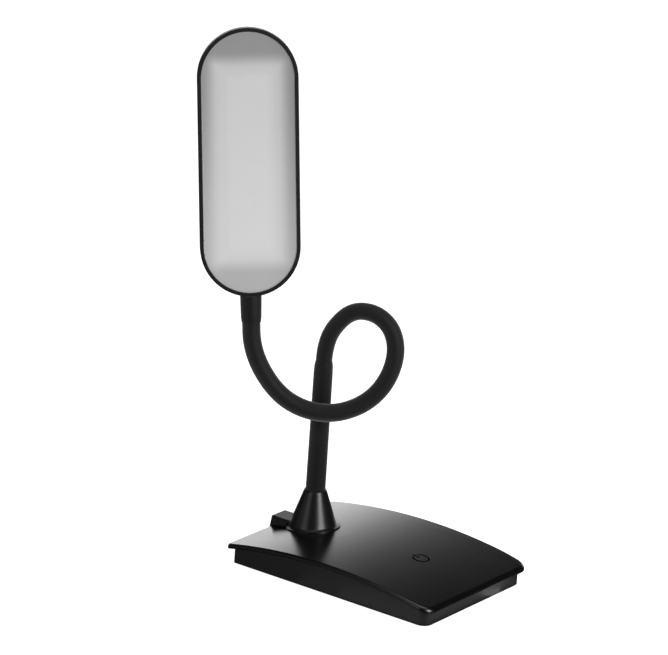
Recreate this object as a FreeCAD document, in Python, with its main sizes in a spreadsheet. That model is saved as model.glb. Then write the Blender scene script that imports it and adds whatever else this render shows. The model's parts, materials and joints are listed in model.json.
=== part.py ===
import FreeCAD, Part
import Sketcher
import math
import os

# LED desk lamp: weighted arched base, plumb stem, looped flexible neck and a
# flat stadium-shaped light head.  Millimetres, +Z up, origin at the centre of
# the resting face of the anti-slip pad, -Y towards the user (touch icon side).

V = FreeCAD.Vector
doc = FreeCAD.newDocument("desk_lamp")
sheet = doc.addObject("Spreadsheet::Sheet", "dims")

# ---------------------------------------------------------------- dimensions
DIMS = [
    # base
    ("cover_len", 180.0), ("cover_wid", 128.0), ("cover_apex", 24.1),
    ("arch_rad", 440.1), ("rim_thick", 3.6), ("shell_thick", 2.2),
    ("recess_wid", 117.0), ("recess_len", 169.0), ("edge_round", 1.7),
    ("corner_front", 10.0), ("corner_back", 3.5),
    ("tray_wid", 119.8), ("tray_len", 171.8), ("tray_floor", 2.2),
    ("tray_wall", 2.4), ("pad_thick", 1.2), ("pad_wid", 108.0), ("pad_len", 160.0),
    ("spigot_wid", 116.6), ("spigot_len", 168.6),
    ("post_x", 50.0), ("post_y", 74.0), ("post_rad", 4.2), ("post_top", 12.0),
    ("coverscrew_shank", 1.5), ("coverscrew_head", 2.8),
    ("plate_wid", 86.0), ("plate_len", 140.0), ("plate_thick", 4.0),
    ("platescrew_x", 36.0), ("platescrew_y", 60.0),
    # control board and touch key
    ("board_wid", 44.0), ("board_len", 50.0), ("board_thick", 1.6),
    ("board_y", -30.0), ("board_z", 11.4), ("boardhole_x", 18.0), ("boardhole_y", 21.0),
    ("icon_y", -37.6), ("icon_rad", 6.5), ("icon_line", 1.15), ("icon_depth", 0.3),
    ("electrode_rad", 8.0), ("electrode_thick", 0.35), ("pillar_rad", 4.0),
    # inlet
    ("hood_top_wid", 16.0), ("hood_foot_wid", 19.8), ("hood_top", 21.7), ("hood_foot", 11.4),
    ("hood_rear", 92.6), ("hood_front", 74.0),
    ("socket_wid", 9.0), ("socket_high", 3.3), ("socket_len", 7.4), ("socket_z", 18.4),
    # stem and cone
    ("stem_y", 59.6), ("cone_top", 49.0), ("cone_top_rad", 8.4), ("cone_foot_rad", 20.0), ("cone_flange", 1.1),
    ("boss_rad", 11.0), ("boss_low", 15.6), ("nut_flats", 15.0), ("nut_high", 3.5),
    ("washer_rad", 9.5), ("washer_thick", 0.8),
    ("tube_rad", 4.3), ("tube_bore", 2.0), ("tube_low", 10.8),
    ("stem_sleeve_low", 7.3), ("stem_sleeve_high", 6.75), ("stem_sleeve_top", 147.6),
    # neck
    ("link_rad", 4.2), ("ball_rad", 3.7), ("cup_gap", 0.06), ("ball_neck", 2.4),
    ("ball_set", 4.6), ("cup_set", 0.9), ("link_bore", 1.75), ("cable_rad", 1.3),
    ("sleeve_rad", 6.4), ("sleeve_bore", 4.65),
    ("collar_tip", 7.1), ("collar_top", 7.75), ("collar_len", 19.4),
    # head
    ("head_wid", 71.8), ("head_len", 192.0), ("head_thick", 13.6), ("head_wall", 1.8),
    ("head_back", 1.9), ("head_split", 4.3), ("lens_rim", 2.4), ("lens_thick", 1.7),
    ("lens_wid", 68.7), ("lens_len", 188.9),
    ("spreader_wid", 54.0), ("spreader_len", 140.0), ("spreader_thick", 1.2),
    ("ledboard_wid", 40.0), ("ledboard_len", 121.0), ("ledboard_thick", 1.0),
    ("chip_wid", 2.8), ("chip_len", 3.5), ("chip_high", 0.7),
    ("headscrew_x", 24.0), ("headscrew_y", 65.6),
]
for i, (key, val) in enumerate(DIMS):
    sheet.set("A%d" % (i + 1), key)
    sheet.set("B%d" % (i + 1), str(val))
    sheet.setAlias("B%d" % (i + 1), key)

# control polygon of the flexible neck: runs joined by tangent arcs
NECK = [
    (0.00, 59.60, 147.00), (0.00, 59.60, 163.81), (4.02, 48.44, 183.10),
    (9.80, 37.99, 189.79), (16.82, 24.64, 187.15), (21.27, 14.54, 175.86),
    (20.84, 10.62, 158.16), (14.49, 14.18, 137.51), (3.79, 24.50, 121.99),
    (-10.93, 41.27, 113.87), (-24.83, 59.95, 116.78), (-36.47, 76.46, 129.91),
    (-46.31, 90.58, 157.97), (-43.94, 96.08, 198.13),
]
row = len(DIMS) + 2
for i, p in enumerate(NECK):
    for col, axis, c in zip("BCD", "xyz", p):
        sheet.set("%s%d" % (col, row + i), str(c))
        sheet.setAlias("%s%d" % (col, row + i), "neckpoint_%02d_%s" % (i, axis))
doc.recompute()


def D(key):
    return float(sheet.get(key))


NECK_P = [V(*[D("neckpoint_%02d_%s" % (i, a)) for a in "xyz"]) for i in range(len(NECK))]

# ------------------------------------------------------------------- helpers
PARTS = []


def expr(text):
    """'cover_len/2 - 3' -> expression on the sheet"""
    out, word = "", ""
    for ch in text + " ":
        if ch.isalnum() or ch == "_":
            word += ch
        else:
            if word:
                out += ("dims." + word) if (word[0].isalpha()) else word
                word = ""
            out += "." if ch == "." else ch
    return out.strip()


def bind(obj, **pairs):
    for prop, text in pairs.items():
        obj.setExpression(prop.replace("__", "."), expr(str(text)))
    return obj


def value(text):
    """numeric value of a sheet expression"""
    probe = doc.getObject("probe") or doc.addObject("App::FeaturePython", "probe")
    if not hasattr(probe, "num"):
        probe.addProperty("App::PropertyFloat", "num")
    probe.setExpression("num", expr(str(text)))
    probe.recompute()
    return float(probe.num)


def node(obj, label):
    obj.Label = label
    PARTS.append((label, obj))
    return obj


def box(n, lx, ly, lz, x0, y0, z0):
    o = doc.addObject("Part::Box", n)
    bind(o, Length=lx, Width=ly, Height=lz)
    bind(o, Placement__Base__x=x0, Placement__Base__y=y0, Placement__Base__z=z0)
    return o


def cyl(n, rad, high, x0=0, y0=0, z0=0):
    o = doc.addObject("Part::Cylinder", n)
    bind(o, Radius=rad, Height=high)
    bind(o, Placement__Base__x=x0, Placement__Base__y=y0, Placement__Base__z=z0)
    return o


def arch(n, off):
    """cylinder along X whose upper face is the cover's arch, 'off' below it"""
    o = doc.addObject("Part::Cylinder", n)
    bind(o, Radius="arch_rad - (%s)" % off, Height="cover_wid + 20")
    o.Placement = FreeCAD.Placement(V(0, 0, 0), FreeCAD.Rotation(V(0, 1, 0), 90))
    bind(o, Placement__Base__x="0 - cover_wid/2 - 10", Placement__Base__z="cover_apex - arch_rad")
    return o


def cut(n, base, *tools):
    if len(tools) == 1:
        tool = tools[0]
    else:
        tool = fuse(n + "_tools", *tools)
    o = doc.addObject("Part::Cut", n)
    o.Base, o.Tool = base, tool
    return o


def fuse(n, *shapes):
    o = doc.addObject("Part::MultiFuse", n)
    o.Shapes = list(shapes)
    o.Refine = True
    return o


def common(n, *shapes):
    o = doc.addObject("Part::MultiCommon", n)
    o.Shapes = list(shapes)
    return o


def group(n, *shapes):
    o = doc.addObject("Part::Compound", n)
    o.Links = list(shapes)
    return o


def vertical_edges(shape, test=None):
    found = []
    for k, e in enumerate(shape.Edges):
        a, b = e.Vertexes[0].Point, e.Vertexes[-1].Point
        if abs(a.x - b.x) < 1e-6 and abs(a.y - b.y) < 1e-6 and abs(a.z - b.z) > 1e-3:
            if test is None or test(a):
                found.append(k + 1)
    return found


def rbox(n, lx, ly, z0, z1, r_front, r_back):
    """box centred on the origin in plan with rounded upright corners"""
    b = box(n + "_blank", lx, ly, "%s - (%s)" % (z1, z0), "0 - (%s)/2" % lx, "0 - (%s)/2" % ly, z0)
    doc.recompute()
    f = doc.addObject("Part::Fillet", n)
    f.Base = b
    f.Edges = [(k, value(r_front if b.Shape.Edges[k - 1].Vertexes[0].Point.y < 0 else r_back),
                value(r_front if b.Shape.Edges[k - 1].Vertexes[0].Point.y < 0 else r_back))
               for k in vertical_edges(b.Shape)]
    return f


def body(n):
    return doc.addObject("PartDesign::Body", n)


def plane(b, role):
    return [o for o in b.Origin.OriginFeatures if o.Role == role][0]


def sketch(b, n, role="XY_Plane", lift=None):
    s = b.newObject("Sketcher::SketchObject", n)
    s.AttachmentSupport = (plane(b, role), [""])
    s.MapMode = "FlatFace"
    if lift is not None:
        s.setExpression("AttachmentOffset.Base.z", expr(str(lift)))
    return s


def con(s, label, text, *args):
    """dimension constraint bound to the sheet"""
    k = s.addConstraint(Sketcher.Constraint(*args, value(text)))
    s.renameConstraint(k, label)
    s.setExpression("Constraints." + label, expr(str(text)))


def sk_circle(s, tag, rad, cx=None, cy=None):
    x = value(cx) if cx is not None else 0.0
    y = value(cy) if cy is not None else 0.0
    g = s.addGeometry(Part.Circle(V(x, y, 0), V(0, 0, 1), value(rad)), False)
    con(s, tag + "_rad", rad, "Radius", g)
    if abs(x) < 1e-9 and abs(y) < 1e-9:
        s.addConstraint(Sketcher.Constraint("Coincident", g, 3, -1, 1))
    else:
        if abs(x) < 1e-9:
            s.addConstraint(Sketcher.Constraint("PointOnObject", g, 3, -2))
        else:
            con(s, tag + "_cx", cx, "DistanceX", -1, 1, g, 3)
        if abs(y) < 1e-9:
            s.addConstraint(Sketcher.Constraint("PointOnObject", g, 3, -1))
        else:
            con(s, tag + "_cy", cy, "DistanceY", -1, 1, g, 3)
    return g


def sk_rect(s, tag, lx, ly, cy=None):
    """rectangle centred on the sketch origin, or at height cy on its Y axis"""
    a, b = value(lx) / 2, value(ly) / 2
    c = value(cy) if cy is not None else 0.0
    p = [V(-a, c - b, 0), V(a, c - b, 0), V(a, c + b, 0), V(-a, c + b, 0)]
    g = [s.addGeometry(Part.LineSegment(p[i], p[(i + 1) % 4]), False) for i in range(4)]
    for i in range(4):
        s.addConstraint(Sketcher.Constraint("Coincident", g[i], 2, g[(i + 1) % 4], 1))
    if abs(c) < 1e-9:
        s.addConstraint(Sketcher.Constraint("Horizontal", g[0]))
    s.addConstraint(Sketcher.Constraint("Horizontal", g[2]))
    s.addConstraint(Sketcher.Constraint("Vertical", g[1]))
    s.addConstraint(Sketcher.Constraint("Vertical", g[3]))
    con(s, tag + "_lx", lx, "DistanceX", g[0], 1, g[0], 2)
    con(s, tag + "_ly", ly, "DistanceY", g[1], 1, g[1], 2)
    if abs(c) < 1e-9:
        s.addConstraint(Sketcher.Constraint("Symmetric", g[0], 1, g[1], 2, -1, 1))
    else:
        s.addConstraint(Sketcher.Constraint("Symmetric", g[0], 1, g[0], 2, -2))
        con(s, tag + "_low", "(%s) - (%s)/2" % (cy, ly), "DistanceY", -1, 1, g[0], 1)
    return g


def sk_stadium(s, tag, wid, length):
    """upright stadium centred on the sketch origin"""
    r = value(wid) / 2
    k = value(length) / 2 - r
    up = s.addGeometry(Part.ArcOfCircle(Part.Circle(V(0, k, 0), V(0, 0, 1), r), 0, math.pi), False)
    lf = s.addGeometry(Part.LineSegment(V(-r, k, 0), V(-r, -k, 0)), False)
    dn = s.addGeometry(Part.ArcOfCircle(Part.Circle(V(0, -k, 0), V(0, 0, 1), r), math.pi, 2 * math.pi), False)
    rt = s.addGeometry(Part.LineSegment(V(r, -k, 0), V(r, k, 0)), False)
    for a, pa, b, pb in ((up, 2, lf, 1), (lf, 2, dn, 1), (dn, 2, rt, 1), (rt, 2, up, 1)):
        s.addConstraint(Sketcher.Constraint("Tangent", a, pa, b, pb))
    s.addConstraint(Sketcher.Constraint("PointOnObject", up, 3, -2))
    s.addConstraint(Sketcher.Constraint("Symmetric", up, 3, dn, 3, -1, 1))
    con(s, tag + "_rad", "(%s)/2" % wid, "Radius", up)
    con(s, tag + "_run", "(%s) - (%s)" % (length, wid), "DistanceY", dn, 3, up, 3)


def sk_profile(s, pts):
    """closed outline from (x, y) sheet expressions"""
    q = [(value(a), value(b)) for a, b in pts]
    n = len(q)
    g = [s.addGeometry(Part.LineSegment(V(q[i][0], q[i][1], 0), V(q[(i + 1) % n][0], q[(i + 1) % n][1], 0)), False)
         for i in range(n)]
    for i in range(n):
        s.addConstraint(Sketcher.Constraint("Coincident", g[i], 2, g[(i + 1) % n], 1))
    for i in range(n):
        if abs(q[i][0]) < 1e-9:
            s.addConstraint(Sketcher.Constraint("PointOnObject", g[i], 1, -2))
        else:
            con(s, "px%d" % i, pts[i][0], "DistanceX", -1, 1, g[i], 1)
        if abs(q[i][1]) < 1e-9:
            s.addConstraint(Sketcher.Constraint("PointOnObject", g[i], 1, -1))
        else:
            con(s, "py%d" % i, pts[i][1], "DistanceY", -1, 1, g[i], 1)
    return g


def pad(b, n, s, length):
    doc.recompute()
    p = b.newObject("PartDesign::Pad", n)
    p.Profile = s
    bind(p, Length=length)
    doc.recompute()
    return p


def pocket(b, n, s, length, both=False, up=False):
    """cut from the sketch plane downwards, or upwards, checked by volume"""
    doc.recompute()
    before = b.Shape.Volume
    p = b.newObject("PartDesign::Pocket", n)
    p.Profile = s
    bind(p, Length=length)
    p.Reversed = up
    if both:
        p.SideType = "Symmetric"
    doc.recompute()
    if not b.Shape.Volume < before - 1e-6:
        raise RuntimeError("pocket %s cuts nothing" % n)
    return p


def revolve(b, n, s):
    doc.recompute()
    r = b.newObject("PartDesign::Revolution", n)
    r.Profile = s
    r.ReferenceAxis = (s, ["V_Axis"])
    r.Angle = 360.0
    doc.recompute()
    return r


def edges_where(shape, test):
    return ["Edge%d" % (k + 1) for k, e in enumerate(shape.Edges) if test(e)]


def fillet(b, n, names, rad):
    f = b.newObject("PartDesign::Fillet", n)
    f.Base = (b.Tip if b.Tip.Name != f.Name else f.BaseFeature, names)
    bind(f, Radius=rad)
    doc.recompute()
    return f


def at_corner(e):
    a, b = e.Vertexes[0].Point, e.Vertexes[-1].Point
    return len(e.Vertexes) == 2 and abs(a.x - b.x) < 1e-6 and abs(a.y - b.y) < 1e-6


# ---------------------------------------------------------------------- base
# cover: arched plate with a deeper rim, rounded along its upper edge
blank = rbox("cover_blank", "cover_wid", "cover_len", "5", "40", "corner_front", "corner_back")
slab = cut("cover_slab", common("cover_arch", blank, arch("arch_top", "0")), arch("arch_rim", "rim_thick"))
doc.recompute()


def on_top(e):
    for t in (0.1, 0.5, 0.9):
        a, b = e.ParameterRange
        p = e.valueAt(a + (b - a) * t)
        if abs(math.hypot(p.y, p.z - (D("cover_apex") - D("arch_rad"))) - D("arch_rad")) > 1e-3:
            return False
    return True


soft = doc.addObject("Part::Fillet", "cover_round")
soft.Base = slab
soft.Edges = [(k + 1, D("edge_round"), D("edge_round")) for k, e in enumerate(slab.Shape.Edges) if on_top(e)]
recess = common("cover_recess", rbox("recess_blank", "recess_wid", "recess_len", "5", "40", "6.5", "3"),
                arch("arch_under", "shell_thick"))
bosses = []
for sx in (-1, 1):
    for sy in (-1, 1):
        bosses.append(cyl("cover_boss", "3.6", "12", "%d*post_x" % sx, "%d*post_y" % sy, "post_top + 0.05"))
bosses.append(cyl("stem_boss", "boss_rad", "10", "0", "stem_y", "boss_low"))
boss_body = common("cover_bosses", fuse("boss_set", *bosses), arch("arch_boss", "1"))
shell = fuse("cover_shell", cut("cover_hollow", soft, recess), boss_body)
holes = [cyl("pilot", "coverscrew_shank + 0.05", "4.5", "%d*post_x" % sx, "%d*post_y" % sy, "11")
         for sx in (-1, 1) for sy in (-1, 1)]
holes.append(cyl("stem_hole", "tube_rad + 0.1", "20", "0", "stem_y", "10"))
holes.append(box("inlet_window", "14", "8.6", "20", "0-7", "79.4", "5"))

# touch symbol: broken ring and a bar, sunk into the crown of the cover
ring = doc.addObject("Part::Cylinder", "icon_outer")
bind(ring, Radius="icon_rad", Height="20", Placement__Base__y="icon_y", Placement__Base__z="10")
core = cyl("icon_inner", "icon_rad - icon_line", "20", "0", "icon_y", "10")
gap = box("icon_gap", "5.6", "8", "20", "0-2.8", "icon_y", "10")
bar = box("icon_bar", "icon_line", "6.2", "20", "0-icon_line/2", "icon_y + 1.2", "10")
symbol = fuse("icon_symbol", cut("icon_ring", ring, core, gap), bar)
groove = cut("icon_groove", symbol, arch("arch_icon", "icon_depth"))
node(cut("base_cover", shell, groove, *holes), "base_cover")
symbol2 = cut("icon_inlay_blank", symbol, arch("arch_icon_low", "icon_depth - 0.01"))
node(common("touch_icon", symbol2, arch("arch_icon_top", "0.02")), "touch_icon")

# tray: floor, walls that follow the arch, a spigot inside the rim and posts
outer = common("tray_outer", rbox("tray_blank", "tray_wid", "tray_len", "pad_thick", "40", "7", "2"),
               arch("arch_tray", "rim_thick + 0.05"))
spigot = common("tray_spigot", rbox("spigot_blank", "spigot_wid", "spigot_len", "pad_thick + 1", "40", "6", "2.5"),
                arch("arch_spigot", "shell_thick + 0.4"))
hollow = rbox("tray_hollow", "spigot_wid - 1.8", "spigot_len - 1.8", "pad_thick + tray_floor", "60", "5", "2")
posts, post_holes = [], []
for sx in (-1, 1):
    for sy in (-1, 1):
        x, y = "%d*post_x" % sx, "%d*post_y" % sy
        posts.append(cyl("tray_post", "post_rad", "post_top - pad_thick - 1", x, y, "pad_thick + 1"))
        post_holes.append(cyl("post_bore", "coverscrew_shank + 0.2", "20", x, y, "0"))
        post_holes.append(cyl("post_sink", "coverscrew_head + 0.3", "2", x, y, "pad_thick"))
        x, y = "%d*platescrew_x" % sx, "%d*platescrew_y" % sy
        posts.append(cyl("plate_post", "3", "plate_thick + 1 - 0.2", x, y, "pad_thick + tray_floor - 1"))
        post_holes.append(cyl("plate_pilot", "1.1", "6", x, y, "4"))
tray = fuse("tray_body", cut("tray_shell", fuse("tray_walls", outer, spigot), hollow), *posts)
node(cut("base_tray", tray, *post_holes), "base_tray")

# anti-slip pad under the tray, hiding the screws
b = body("pad_body")
s = sketch(b, "pad_outline")
sk_rect(s, "pad", "pad_wid", "pad_len")
p = pad(b, "pad_sheet", s, "pad_thick")
fillet(b, "pad_corners", edges_where(p.Shape, at_corner), "8")
node(b, "anti_slip_pad")

# steel ballast plate with post holes, spacer threads and a cable slot
b = body("plate_body")
s = sketch(b, "plate_outline", lift="pad_thick + tray_floor")
sk_rect(s, "plate", "plate_wid", "plate_len")
p = pad(b, "plate_sheet", s, "plate_thick")
fillet(b, "plate_corners", edges_where(p.Shape, at_corner), "4")
s = sketch(b, "plate_holes", lift="pad_thick + tray_floor")
k = 0
for sx in (-1, 1):
    for sy in (-1, 1):
        sk_circle(s, "post%d" % k, "3.25", "%d*platescrew_x" % sx, "%d*platescrew_y" % sy)
        sk_circle(s, "thread%d" % k, "1.5", "%d*boardhole_x" % sx, "board_y + %d*boardhole_y" % sy)
        k += 1
pocket(b, "plate_drill", s, "plate_thick + 1", up=True)
s = sketch(b, "plate_slot", lift="pad_thick + tray_floor")
sk_rect(s, "slot", "10", "46", "46")
pocket(b, "plate_cable_slot", s, "plate_thick + 1", up=True)
node(b, "ballast_plate")


def screws(n, spots, head_r, head_h, head_z, shank_r, tip_z, below):
    """pan-head screws; the head stands above head_z, or below it"""
    made = []
    for x, y in spots:
        h = cyl(n + "_head", head_r, head_h, x, y, ("%s - %s" % (head_z, head_h)) if below else head_z)
        if below:
            sh = cyl(n + "_shank", shank_r, "%s - (%s)" % (tip_z, head_z), x, y, head_z)
            dr = cyl(n + "_drive", "(%s)*0.42" % head_r, "0.7", x, y, "%s - %s" % (head_z, head_h))
        else:
            sh = cyl(n + "_shank", shank_r, "%s - (%s)" % (head_z, tip_z), x, y, tip_z)
            dr = cyl(n + "_drive", "(%s)*0.42" % head_r, "0.7", x, y, "%s + %s - 0.7" % (head_z, head_h))
        made.append(cut(n + "_one", fuse(n + "_blank", h, sh), dr))
    return group(n, *made)


four = [(sx, sy) for sx in (-1, 1) for sy in (-1, 1)]
node(screws("cover_screw_set", [("%d*post_x" % a, "%d*post_y" % c) for a, c in four],
            "coverscrew_head", "1.7", "pad_thick + 1.9", "coverscrew_shank", "15.2", True), "cover_screws")
node(screws("plate_screw_set", [("%d*platescrew_x" % a, "%d*platescrew_y" % c) for a, c in four],
            "3.8", "1.8", "pad_thick + tray_floor + plate_thick", "1.05", "4.3", False), "ballast_screws")

# control board on spacers
b = body("board_body")
s = sketch(b, "board_outline", lift="board_z")
sk_rect(s, "board", "board_wid", "board_len", "board_y")
p = pad(b, "board_sheet", s, "board_thick")
fillet(b, "board_corners", edges_where(p.Shape, at_corner), "2")
s = sketch(b, "board_holes", lift="board_z")
for k, (a, c) in enumerate(four):
    sk_circle(s, "hole%d" % k, "1.65", "%d*boardhole_x" % a, "board_y + %d*boardhole_y" % c)
pocket(b, "board_drill", s, "board_thick + 1", up=True)
node(b, "control_board")
spots = [("%d*boardhole_x" % a, "board_y + %d*boardhole_y" % c) for a, c in four]
spacers = []
for x, y in spots:
    hexa = doc.addObject("Part::Prism", "spacer_hex")
    hexa.Polygon = 6
    bind(hexa, Circumradius="2.9", Height="board_z - pad_thick - tray_floor - plate_thick",
         Placement__Base__x=x, Placement__Base__y=y, Placement__Base__z="pad_thick + tray_floor + plate_thick")
    stud = cyl("spacer_stud", "1.45", "3", x, y, "pad_thick + tray_floor + plate_thick - 3")
    spacers.append(cut("spacer_one", fuse("spacer_blank", hexa, stud), cyl("spacer_bore", "1.3", "3.2", x, y, "board_z - 3.2")))
node(group("spacer_set", *spacers), "board_spacers")
node(screws("board_screw_set", spots, "2.6", "1.7", "board_z + board_thick", "1.25", "board_z - 2.6", False), "board_screws")
deck = "board_z + board_thick"
node(group("component_set",
           box("driver_chip", "5", "5", "1.1", "8", "0-28", deck),
           box("control_chip", "4", "6", "1.3", "0-15", "0-27", deck),
           box("coil", "6.4", "6.4", "3.2", "6", "0-20.5", deck),
           cyl("capacitor", "2.6", "5.5", "0-11", "0-15", deck),
           box("cable_header", "7", "5.5", "4", "0-3.5", "0-11", deck),
           box("inlet_header", "5", "5.5", "4", "9", "0-11", deck)), "board_components")

# touch key: conductive column from the board to a foil under the symbol
node(common("touch_pillar_body", cyl("pillar_blank", "pillar_rad", "12", "0", "icon_y", deck),
            arch("arch_pillar", "shell_thick + electrode_thick + 0.1")), "touch_pillar")
node(cut("touch_electrode_body",
         common("electrode_blank", cyl("electrode_disc", "electrode_rad", "20", "0", "icon_y", "12"), arch("arch_foil_top", "shell_thick + 0.03")),
         arch("arch_foil_low", "shell_thick + 0.03 + electrode_thick")), "touch_electrode")

# ------------------------------------------------------------- cone and stem
CONE = [("tube_rad + 0.15", "14"), ("cone_foot_rad - 0.1", "14"), ("15.7", "26.2"), ("cone_top_rad + 0.15", "cone_top - 1.2"),
        ("cone_top_rad - 0.5", "cone_top"), ("7.5", "cone_top"), ("7.36", "cone_top - 1.5"), ("7.36", "cone_top - 9"),
        ("tube_rad + 0.15", "cone_top - 9")]
b = body("cone_body")
s = sketch(b, "cone_profile", role="XZ_Plane")
sk_profile(s, CONE)
revolve(b, "cone_turned", s)
bind(b, Placement__Base__y="stem_y")
doc.recompute()
# thin flange at the cone's foot, of even height over the arch
flange = common("cone_flange_disc", cyl("flange_blank", "cone_foot_rad", "20", "0", "stem_y", "8"),
                arch("arch_flange", "0 - cone_flange"))
flange = cut("cone_flange_ring", flange, cyl("flange_bore", "tube_rad + 0.15", "30", "0", "stem_y", "0"))
node(cut("neck_cone_trim", fuse("neck_cone_whole", b, flange), arch("arch_cone", "0 - 0.03")), "neck_cone")

b = body("washer_body")
s = sketch(b, "washer_outline", lift="boss_low - washer_thick")
sk_circle(s, "rim", "washer_rad")
sk_circle(s, "bore", "tube_rad + 0.2")
pad(b, "washer_disc", s, "washer_thick")
bind(b, Placement__Base__y="stem_y")
node(b, "stem_washer")
hexa = doc.addObject("Part::Prism", "nut_hex")
hexa.Polygon = 6
bind(hexa, Circumradius="nut_flats/1.7320508", Height="nut_high", Placement__Base__y="stem_y",
     Placement__Base__z="boss_low - washer_thick - nut_high")
node(cut("stem_nut_body", hexa, cyl("nut_bore", "tube_rad + 0.03", "20", "0", "stem_y", "0")), "stem_nut")

# ---------------------------------------------------------- path of the neck
UNIT, RUN = [], []
for a, c in zip(NECK_P[:-1], NECK_P[1:]):
    d = c.sub(a)
    RUN.append(d.Length)
    UNIT.append(d.normalize())
END = len(NECK_P) - 1
SEGS = []          # (length, kind, data)
cursor = NECK_P[0]
TURNS, TAN = [], []
for i in range(1, END):
    turn = UNIT[i - 1].getAngle(UNIT[i])
    tan = min(RUN[i - 1] * (0.75 if i == 1 else 0.485), RUN[i] * (0.45 if i == END - 1 else 0.485))
    rad = tan / math.tan(turn / 2)
    p0 = NECK_P[i].sub(UNIT[i - 1] * tan)
    axis = UNIT[i - 1].cross(UNIT[i]).normalize()
    mid = p0.add(axis.cross(UNIT[i - 1]) * rad)
    SEGS.append((p0.sub(cursor).Length, "line", (cursor, UNIT[i - 1])))
    SEGS.append((rad * turn, "arc", (mid, p0.sub(mid), axis, turn)))
    cursor = NECK_P[i].add(UNIT[i] * tan)
    TURNS.append((turn, rad, axis))
SEGS.append((NECK_P[END].sub(cursor).Length, "line", (cursor, UNIT[-1])))
print("neck bend radii", [round(t[1], 1) for t in TURNS])
TOTAL = sum(g[0] for g in SEGS)


def point(q):
    """point on the neck's centre line at distance q above the stem's end"""
    if q <= 0:
        return NECK_P[0].add(UNIT[0] * q)
    left = q
    for length, kind, data in SEGS:
        if left <= length:
            if kind == "line":
                return data[0].add(data[1] * left)
            mid, arm, axis, turn = data
            return mid.add(FreeCAD.Rotation(axis, math.degrees(turn * left / length)).multVec(arm))
        left -= length
    return NECK_P[END].add(UNIT[-1] * left)


def heading(q):
    return point(q + 0.05).sub(point(q - 0.05)).normalize()


def spine(q0, q1):
    """wire along the centre line, straight runs and tangent arcs only"""
    edges, pos = [], 0.0
    if q0 < 0:
        edges.append(Part.LineSegment(point(q0), point(min(0.0, q1))).toShape())
    for length, kind, data in SEGS:
        a, c = max(q0, pos), min(q1, pos + length)
        if c - a > 1e-6:
            if kind == "line":
                edges.append(Part.LineSegment(point(a), point(c)).toShape())
            else:
                edges.append(Part.Arc(point(a), point((a + c) / 2), point(c)).toShape())
        pos += length
    if q1 > TOTAL:
        edges.append(Part.LineSegment(point(max(TOTAL, q0)), point(q1)).toShape())
    return Part.Wire(edges)


def tube(wire, rad):
    """round bar along a wire, compared with section times length"""
    e = wire.Edges[0]
    start = wire.OrderedVertexes[0].Point
    tang = wire.OrderedEdges[0].tangentAt(wire.OrderedEdges[0].FirstParameter)
    if wire.OrderedEdges[0].Orientation == "Reversed":
        tang = tang * -1
    ring = Part.Wire([Part.Circle(start, tang, rad).toShape()])
    solid = wire.makePipeShell([ring], True, False)
    want = math.pi * rad * rad * wire.Length
    if abs(solid.Volume - want) > 0.02 * want:
        raise RuntimeError("swept bar volume %.1f, wanted %.1f" % (solid.Volume, want))
    return solid


def solid_feature(label, shape):
    o = doc.addObject("Part::Feature", label)
    o.Shape = shape
    o.Placement = FreeCAD.Placement()
    return node(o, label)


# joints along the neck: distance from the stem's end; in-plane ones sit at the
# middle of an arc, cross ones on the runs between
ARC_MID, pos = [], 0.0
for length, kind, data in SEGS:
    if kind == "arc":
        ARC_MID.append(pos + length / 2)
    pos += length
Q_LEAN = 3.0
Q_SWAY = (ARC_MID[10] + ARC_MID[11]) / 2
Q_NOD = round(TOTAL, 2) - 25.11
JOINT_Q = [Q_LEAN] + ARC_MID[:11] + [Q_SWAY, ARC_MID[11], Q_NOD]
print("neck length", round(TOTAL, 2))
for k, q in enumerate(JOINT_Q):
    print("joint", k + 1, "q", round(q, 2), "at", [round(c, 3) for c in point(q)], "heading", [round(c, 5) for c in heading(q)])
for k, t in enumerate(TURNS):
    print("bend", k + 1, "deg", round(math.degrees(t[0]), 2), "axis", [round(c, 5) for c in t[2]])

ball_r, cup_r = D("ball_rad"), D("ball_rad") + D("cup_gap")

# steel stem tube: plumb, threaded into the nut, cup at its top
low = D("tube_low") - NECK_P[0].z
stem_top = Q_LEAN - D("cup_set")
b = body("tube_body")
s = sketch(b, "tube_section", lift="tube_low")
sk_circle(s, "outside", "tube_rad")
sk_circle(s, "bore", "tube_bore")
pad(b, "tube_run", s, "%r - tube_low" % (NECK_P[0].z + stem_top))
bind(b, Placement__Base__y="stem_y")
doc.recompute()
seat = doc.addObject("Part::Sphere", "tube_seat")
bind(seat, Radius="ball_rad + cup_gap", Placement__Base__y="stem_y", Placement__Base__z="%r" % (NECK_P[0].z + Q_LEAN))
node(cut("stem_tube_body", b, seat), "stem_tube")

# tapered rubber sleeve on the stem
b = body("stem_sleeve_body")
s = sketch(b, "stem_sleeve_profile", role="XZ_Plane")
sk_profile(s, [("tube_rad + 0.05", "cone_top - 8.9"), ("stem_sleeve_low", "cone_top - 8.9"), ("stem_sleeve_low", "cone_top"),
               ("stem_sleeve_high", "stem_sleeve_top - 1"), ("stem_sleeve_high - 0.6", "stem_sleeve_top"),
               ("tube_rad + 0.05", "stem_sleeve_top")])
revolve(b, "stem_sleeve_turned", s)
bind(b, Placement__Base__y="stem_y")
node(b, "stem_sleeve")

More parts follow.
